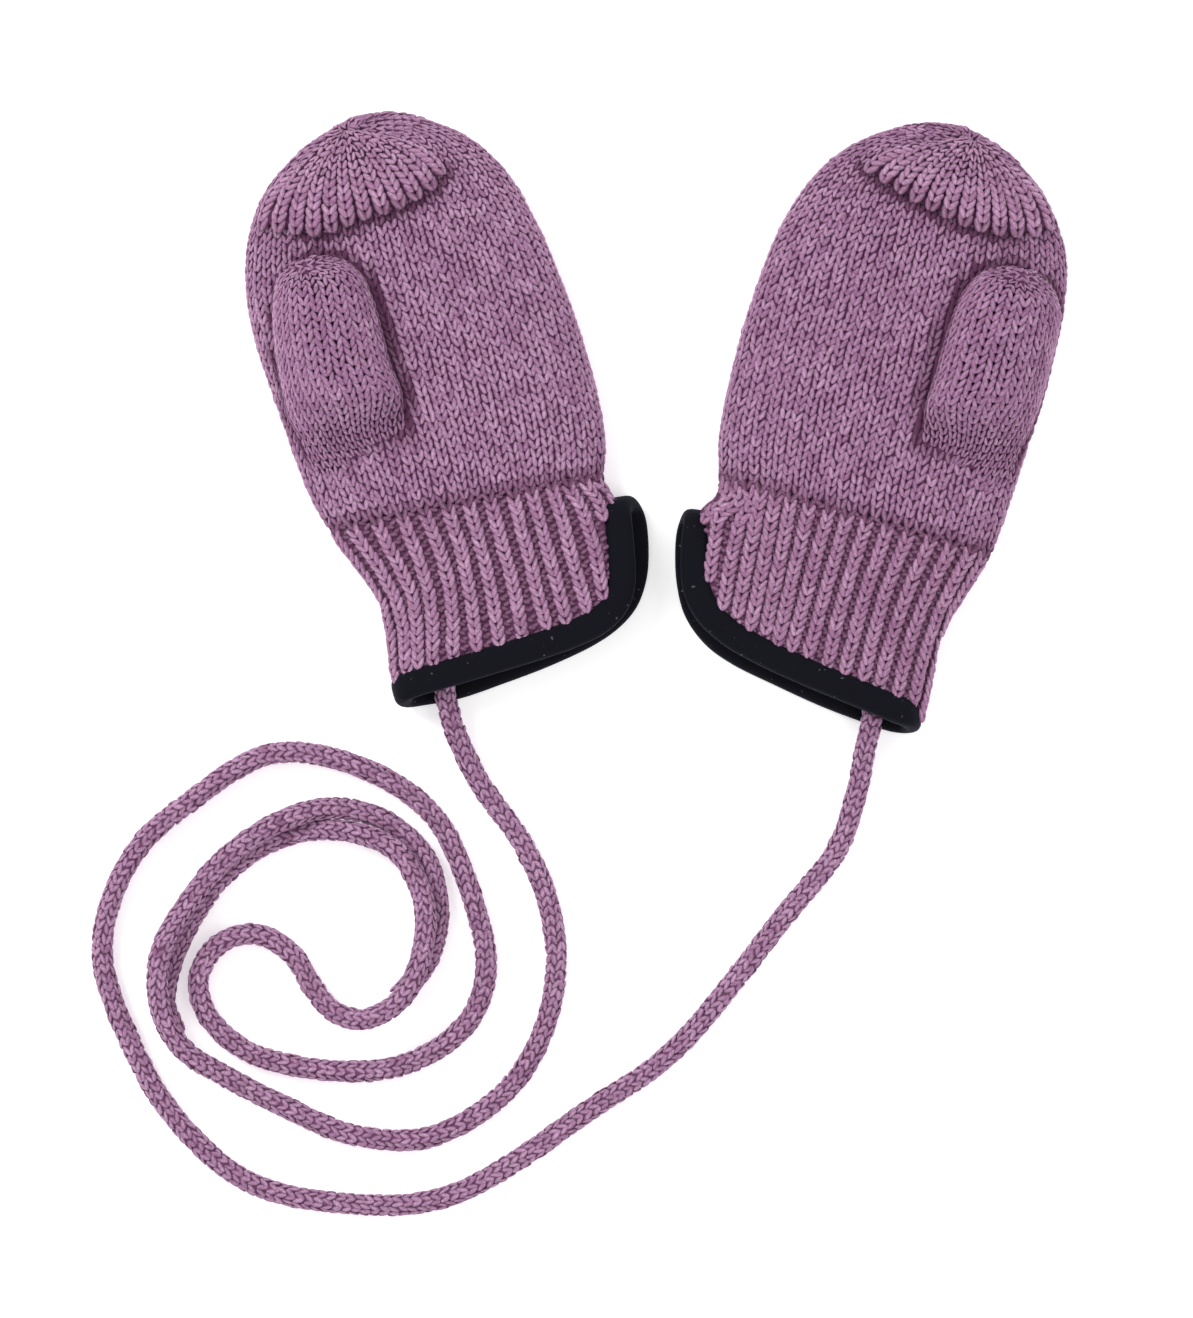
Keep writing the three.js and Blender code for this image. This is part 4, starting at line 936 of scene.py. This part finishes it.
def build_thumb(m):
    outer, inner = thumb_cloth(m, 0.7, -0.9), thumb_cloth(m, 1.8, -1.1)
    ends = (50, THUMB_END + CLOSING)
    shape = tube(outer, inner, ends, ends)
    core = wrapped(f"thumb_{m['name']}_cloth", lambda x, y: place(m, shape(x, y)), 64, 90,
                   GROUND)
    cloth = thumb_cloth(m, 0.0, 0.2)
    # painted shade: the thumbs are given a darker tone of the same yarn, the right one most
    yarn = Yarn(m, -0.12 if m is LEFT else -0.24)
    wales = [((k + 0.5) / THUMB_WALES, 1 / THUMB_WALES, 46) for k in range(THUMB_WALES)]
    wales += [(1 + (k + 0.5) / THUMB_TIP_WALES, 1 / THUMB_TIP_WALES, 90)
              for k in range(THUMB_TIP_WALES)]
    for k, (a, share, start) in enumerate(wales):
        s = cloth.rows(a, start, THUMB_END + CLOSING - 0.4, STITCH_ROW)
        aa = a + 0.003 * np.sin(s * 0.25 + k)
        width = cloth.wide(s, aa, share)
        merged, keep = joined(k, width)
        p = cloth.at(s, aa)
        over = p[:, 2] - palm_top(m, p[:, 0], p[:, 1])
        keep &= over > np.where(p[:, 1] < 58, 0.55, -1)
        s, aa, width, over, v = s[keep], aa[keep], (width * merged)[keep], over[keep], p[keep, 1]
        if not len(s):
            continue
        # painted shade, through clear: thumb stitches low down next to the palm are darkened
        low = 0.5 * np.exp(-(over / 2.4) ** 2) * np.clip((v - 56) / 6, 0, 1)
        yarn.legs(cloth.frame(s, aa), width, THUMB_LEG, 20, 5, -0.4, jitter=0.75,
                  clear=1 - low)
    legs = yarn.mesh(f"thumb_{m['name']}_stitches", grain(), YARN, "plain_knit")
    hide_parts(f"thumb_{m['name']}")


def build_fan(m):
    upper, under = fan_cloth(m, -0.5), fan_cloth(m, 0.0)

    def shape(x, y):
        r = 0.05 + np.abs(y * 2 - 1) * 0.935
        top = upper.at(r, x)
        plan = fan_plan(m, x, r)
        u, v = plan[:, 0], plan[:, 1]
        bottom = np.stack([u, v, palm_top(m, u, v)], -1)
        flat = (y < 0.5) | (x < 1e-6) | (x > 1 - 1e-6) | (np.abs(y - 0.5) < 1e-6)
        return place(m, np.where(flat[:, None], bottom, top))

    core = wrapped(f"tip_fan_{m['name']}_cloth", shape, FAN_RIBS * 8, 60, RIB_GROUND)
    yarn = Yarn(m)
    for k in range(FAN_RIBS):
        c = (k + 0.5) / FAN_RIBS
        r = under.rows(c, 0.015, 0.975, FAN_ROW)
        cc = np.full_like(r, c)
        width = under.wide(r, cc, 0.5 / FAN_RIBS) * 1.8
        merged = np.where(width < 1.4, 2, 1)
        keep = k % merged == 0
        r, cc, width = r[keep], cc[keep], np.clip((width * merged)[keep], 1.2, 3.5)
        flush = max(1 - c / 0.3, 0) * np.clip(1 - r / 0.35, 0, 1)
        # painted shade, through clear: stitches at the lower edge of the gathered tip are darkened,
        # where its rib ends fold under
        clear = 1 - 0.35 * np.clip(1 - r / 0.1, 0, 1) * min(c / 0.25, 1)
        yarn.legs(under.frame(r, cc, 0.03), width, FAN_LEG, 23, 6, -0.28 - 0.7 * flush,
                  lean=18, clear=clear)
    legs = yarn.mesh(f"tip_fan_{m['name']}_stitches", grain(), RIB_YARN, "rib_knit")
    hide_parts(f"tip_fan_{m['name']}")


def rib_line(m, row, v):
    """Place of a rib on the u axis, with the bend that those next to the slit make by the seam"""
    bend = m["kink"] * min(max((row[4] - 20) / 7, 0), 1)
    return np.interp(v, RIB_LEVELS, row) - bend * np.exp(-((v - 30.5) / 3.0) ** 2)


def rib_places(m, v):
    return np.stack([rib_line(m, row, v) for row in m["ribs"]], -1)


def rib_wave(m, u, v):
    """1 on the middle of a rib and 0 in the purl groove between two"""
    at = rib_places(m, v)
    i = np.clip((at < u[..., None]).sum(-1) - 1, 0, at.shape[-1] - 2)[..., None]
    low, high = (np.take_along_axis(at, i + step, -1)[..., 0] for step in (0, 1))
    return np.abs(np.cos(np.pi * (u - low) / (high - low)))


def build_cuff(m):
    cloth, inner = cuff_cloth(m), cuff_cloth(m, 2.2, 2.0)
    top_of = m["seam"] - SEAM / 2
    band = even(spline([(u, v, 0) for u, v, _ in m["band_upper"]], 10), 160)[:, :2]

    def rise(p, s, top_side):
        """Height of the ribs, less at the seam and just inside the band"""
        wave = rib_wave(m, p[:, 0], p[:, 1]) ** 0.8
        gap = near(p, band)
        fade = np.clip((top_of - s) / 4, 0.35, 1) * np.clip((gap - 2.0) / 2.5, 0, 1)
        dip = 0.3 * np.exp(-((top_of - s) / 1.2) ** 2) + 0.4 * np.clip((4.2 - gap) / 1.4, 0, 1)
        return (wave * fade * RIB_DEPTH - dip) * top_side

    def shape(x, y):
        a = x * 2
        t = np.abs(y * 2 - 1)
        hem = cloth.hem(a)
        s = hem + (top_of - hem) * t
        p, across, along, normal = cloth.frame(s, a)
        outside = p + normal * (rise(p, s, a <= 1) - 0.75)[:, None]
        return place(m, np.where(((y < 0.5) | (y > 1 - 1e-6))[:, None], inner.at(s, a), outside))

    core = wrapped(f"cuff_{m['name']}_cloth", shape, 224, 60, RIB_GROUND)
    # painted shade: the right cuff's yarn is given a darker tone than the left's
    tone = 0.0 if m is LEFT else -0.18
    yarn, bars = Yarn(m, tone), Yarn(m)
    top = RING_A <= 1
    samples = np.linspace(-8, top_of, 120)

    def trace(line):
        """Frame of evenly spaced rows along a line of the rib pattern, from the band to the seam"""
        a = []
        for s in samples:
            ring = cloth.at(np.full(top.sum(), s), RING_A[top])
            a.append(np.interp(0, ring[:, 0] - line(ring[:, 1]), RING_A[top]))
        a = np.array(a)
        path = cloth.at(samples, a)
        length = run(path)
        wanted = np.arange(length[-1] - 0.7, 0, -RIB_ROW)
        s, aa = np.interp(wanted, length, samples), np.interp(wanted, length, a)
        p, _, _, normal = cloth.frame(s, aa)
        past, behind = (cloth.at(np.interp(wanted + step, length, samples),
                                 np.interp(wanted + step, length, a)) for step in (0.5, -0.5))
        ahead = unit(past - behind)
        above = p[:, 1] > hem_line(m, m["band_upper"], p[:, 0])
        clear_of_band = near(p, band) > np.where(p[:, 1] > 5, 3.3, 2.0)
        keep = above & clear_of_band & (aa > 0.004) & (aa < 0.996)
        return s[keep], (p[keep], unit(np.cross(ahead, normal))[keep], ahead[keep], normal[keep])

    lines = [lambda v, row=row: rib_line(m, row, v) for row in m["ribs"]]
    for i, line in enumerate(lines):
        s, frame_of = trace(line)
        lift = rise(frame_of[0], s, True) - 0.42
        # painted shade, through clear: rib stitches next to the seam are darkened
        clear = 1 - 0.4 * np.exp(-((top_of - s) / 1.2) ** 2)
        yarn.legs(frame_of, np.full_like(s, 3.05), RIB_LEG, 26, 4, lift, lean=14, clear=clear)
    purls = [lambda v, i=i: (lines[i](v) + lines[i + 1](v)) / 2 for i in range(len(lines) - 1)]
    purls += [lambda v: 1.5 * lines[0](v) - 0.5 * lines[1](v),
              lambda v: 1.5 * lines[-1](v) - 0.5 * lines[-2](v)]
    for line in purls:
        s, (p, across, along, normal) = trace(line)
        n = len(s)
        for q in (-1, 1):
            bar = across * math.cos(0.35) + along * q * math.sin(0.35)
            over = along * math.cos(0.35) - across * q * math.sin(0.35)
            centre = (p + across * q * 0.55 + along * rng.normal(q * 0.35, 0.16, n)[:, None]
                      + normal * (rise(p, s, True) - 0.34 + rng.normal(0, 0.08, n))[:, None])
            # painted shade: the purl bars down in the grooves get a low tint and only 0.74 of clear
            shade = np.clip(0.3 + rng.normal(0, 0.16, n), 0, 1)
            wide, long, high = PURL_BAR
            bars.add(centre, over * wide, bar * long, normal * high, shade, 0.74)
    for a in (1 + 0.02, 1 + 0.055, 2 - 0.02, 2 - 0.055):
        s = cloth.rows(a, float(cloth.hem(a)) + 4.0, top_of, STITCH_ROW)
        p = cloth.at(s, np.full_like(s, a))
        gap = near(p, band)
        free = gap > 3.6 if a < 1.5 else p[:, 1] > m["band_upper"][0][1] + 5.0
        s, gap = s[free], gap[free]
        lift = -0.45 - 0.55 * np.clip((7 - gap) / 2, 0, 1)
        yarn.legs(cloth.frame(s, np.full_like(s, a)), np.full_like(s, 2.7), SIDE_LEG, 16, 4, lift)
    legs = yarn.mesh(f"cuff_{m['name']}_stitches", grain(blunt=0.7), RIB_YARN, "rib_knit")
    purl = bars.mesh(f"cuff_{m['name']}_purl_stitches", grain(6, 5), RIB_YARN, "rib_knit")
    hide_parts(f"cuff_{m['name']}")


def band_route(m):
    """Centre line of the band and the direction of its outer edge, as one closed loop"""
    upper = [(u, v, float(palm_top(m, u, v)) - 0.95, f) for u, v, f in m["band_upper"]]
    under = [(u, v, BAND_THICKNESS / 2, f) for u, v, f in m["band_under"]]

    def fold(start, end, push_u, push_v):
        start, end = np.array(start), np.array(end)
        rows = []
        for angle in (45, 90, 135):
            turn = math.radians(angle)
            row = start + (end - start) * (1 - math.cos(turn)) / 2
            row[0] += push_u * math.sin(turn)
            row[1] += push_v * math.sin(turn)
            rows.append(tuple(row))
        return rows

    rows = [*upper, *fold(upper[-1], under[-1], 0, BAND_FOLD),
            *under[::-1], *fold(under[0], upper[0], -BAND_FOLD, 0)]
    centre = spline([r[:3] for r in rows], 10, closed=True)
    turns = [math.radians(r[3]) for r in rows]
    facing = spline([(math.cos(turn), math.sin(turn), 0) for turn in turns], 10, closed=True)
    return centre, facing


def build_band(m):
    centre, facing = band_route(m)
    closed = np.concatenate([centre, centre[:1]])
    along = unit(np.roll(centre, -1, axis=0) - np.roll(centre, 1, axis=0))
    out = unit(facing - along * np.einsum("ij,ij->i", facing, along)[:, None])
    up = np.cross(along, out)
    length = run(closed)
    puff = 1 + 0.03 * np.sin(length[:-1] * 0.42) + 0.025 * np.sin(length[:-1] * 0.93 + 1.3)

    def shape(x, y):
        """Folded strip: its outer face round the edge and its inner face back"""
        where = np.mod(y, 1.0) * length[-1]
        c, o, n = (np.stack([np.interp(where, length, np.append(data[:, k], data[0, k]))
                             for k in range(3)], -1) for data in (centre, out, up))
        thick = np.interp(where, length, np.append(puff, puff[0]))
        outer_side = x < 0.58
        t = np.where(outer_side, x / 0.58, 1 - (x - 0.58) / 0.42) * 2 - 1
        angle = t * math.radians(158)
        trim = np.where(outer_side | (x > 1 - 1e-6), 0.0, 0.8)
        side, lift = np.cos(angle), np.sin(angle)
        w = np.sign(side) * np.abs(side) ** 0.62 * (BAND_WIDTH / 2 + 0.1 - trim)
        h = np.sign(lift) * np.abs(lift) ** 0.75 * (BAND_THICKNESS / 2 + 0.15 - trim) * thick
        p = c + o * w[:, None] + n * h[:, None]
        p[:, 2] = np.maximum(p[:, 2], 0.05 + trim)
        return place(m, p)

    core = wrapped(f"binding_{m['name']}_velour", shape, 38, 190, VELOUR)
    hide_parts(f"binding_{m['name']}")


for mitten in (LEFT, RIGHT):
    build_hand(mitten)
    build_thumb(mitten)
    build_fan(mitten)
    build_cuff(mitten)
    build_band(mitten)


# ---- floor and light ----

floor_material, floor_tree, floor_shader = new_material("matt white paper")
paper_at = add_node(floor_tree, "ShaderNodeTexCoord").outputs["Object"]
paper = add_node(floor_tree, "ShaderNodeTexNoise",
                 {"Vector": paper_at, "Scale": per(PAPER_GRAIN)}).outputs["Fac"]
white = add_node(floor_tree, "ShaderNodeMix",
                 {0: paper, 6: linear("#fbfbfb"), 7: linear("#ffffff")}, data_type="RGBA")
fill(floor_shader, {"Base Color": white.outputs[2], "Roughness": 1.0, "Specular IOR Level": 0.0,
                    "Emission Color": (1, 1, 1, 1), "Emission Strength": 0.4})
bm = bmesh.new()
bmesh.ops.create_grid(bm, x_segments=1, y_segments=1, size=3.0)
floor_mesh = bpy.data.meshes.new("floor")
bm.to_mesh(floor_mesh)
bm.free()
floor = bpy.data.objects.new("floor", floor_mesh)
bpy.context.collection.objects.link(floor)
floor.location = (0, 0, -0.0003)
floor_mesh.materials.append(floor_material)

world = bpy.data.worlds.new("studio")
bpy.context.scene.world = world
world.use_nodes = True
background = world.node_tree.nodes["Background"]
background.inputs["Color"].default_value = (1, 1, 1, 1)
background.inputs["Strength"].default_value = 0.72


def area_light(name, position, size, power):
    data = bpy.data.lights.new(name, "AREA")
    data.shape, data.size, data.energy = "DISK", size, power
    lamp = bpy.data.objects.new(name, data)
    bpy.context.collection.objects.link(lamp)
    lamp.location = position
    lamp.rotation_mode = "QUATERNION"
    lamp.rotation_quaternion = (AIM - Vector(position)).to_track_quat("-Z", "Y")


area_light("window", (-0.9, 0.7, 1.3), 0.7, 12.0)
area_light("fill", (0.8, -0.5, 1.4), 0.9, 4.0)
bpy.context.scene.view_settings.view_transform = "Standard"
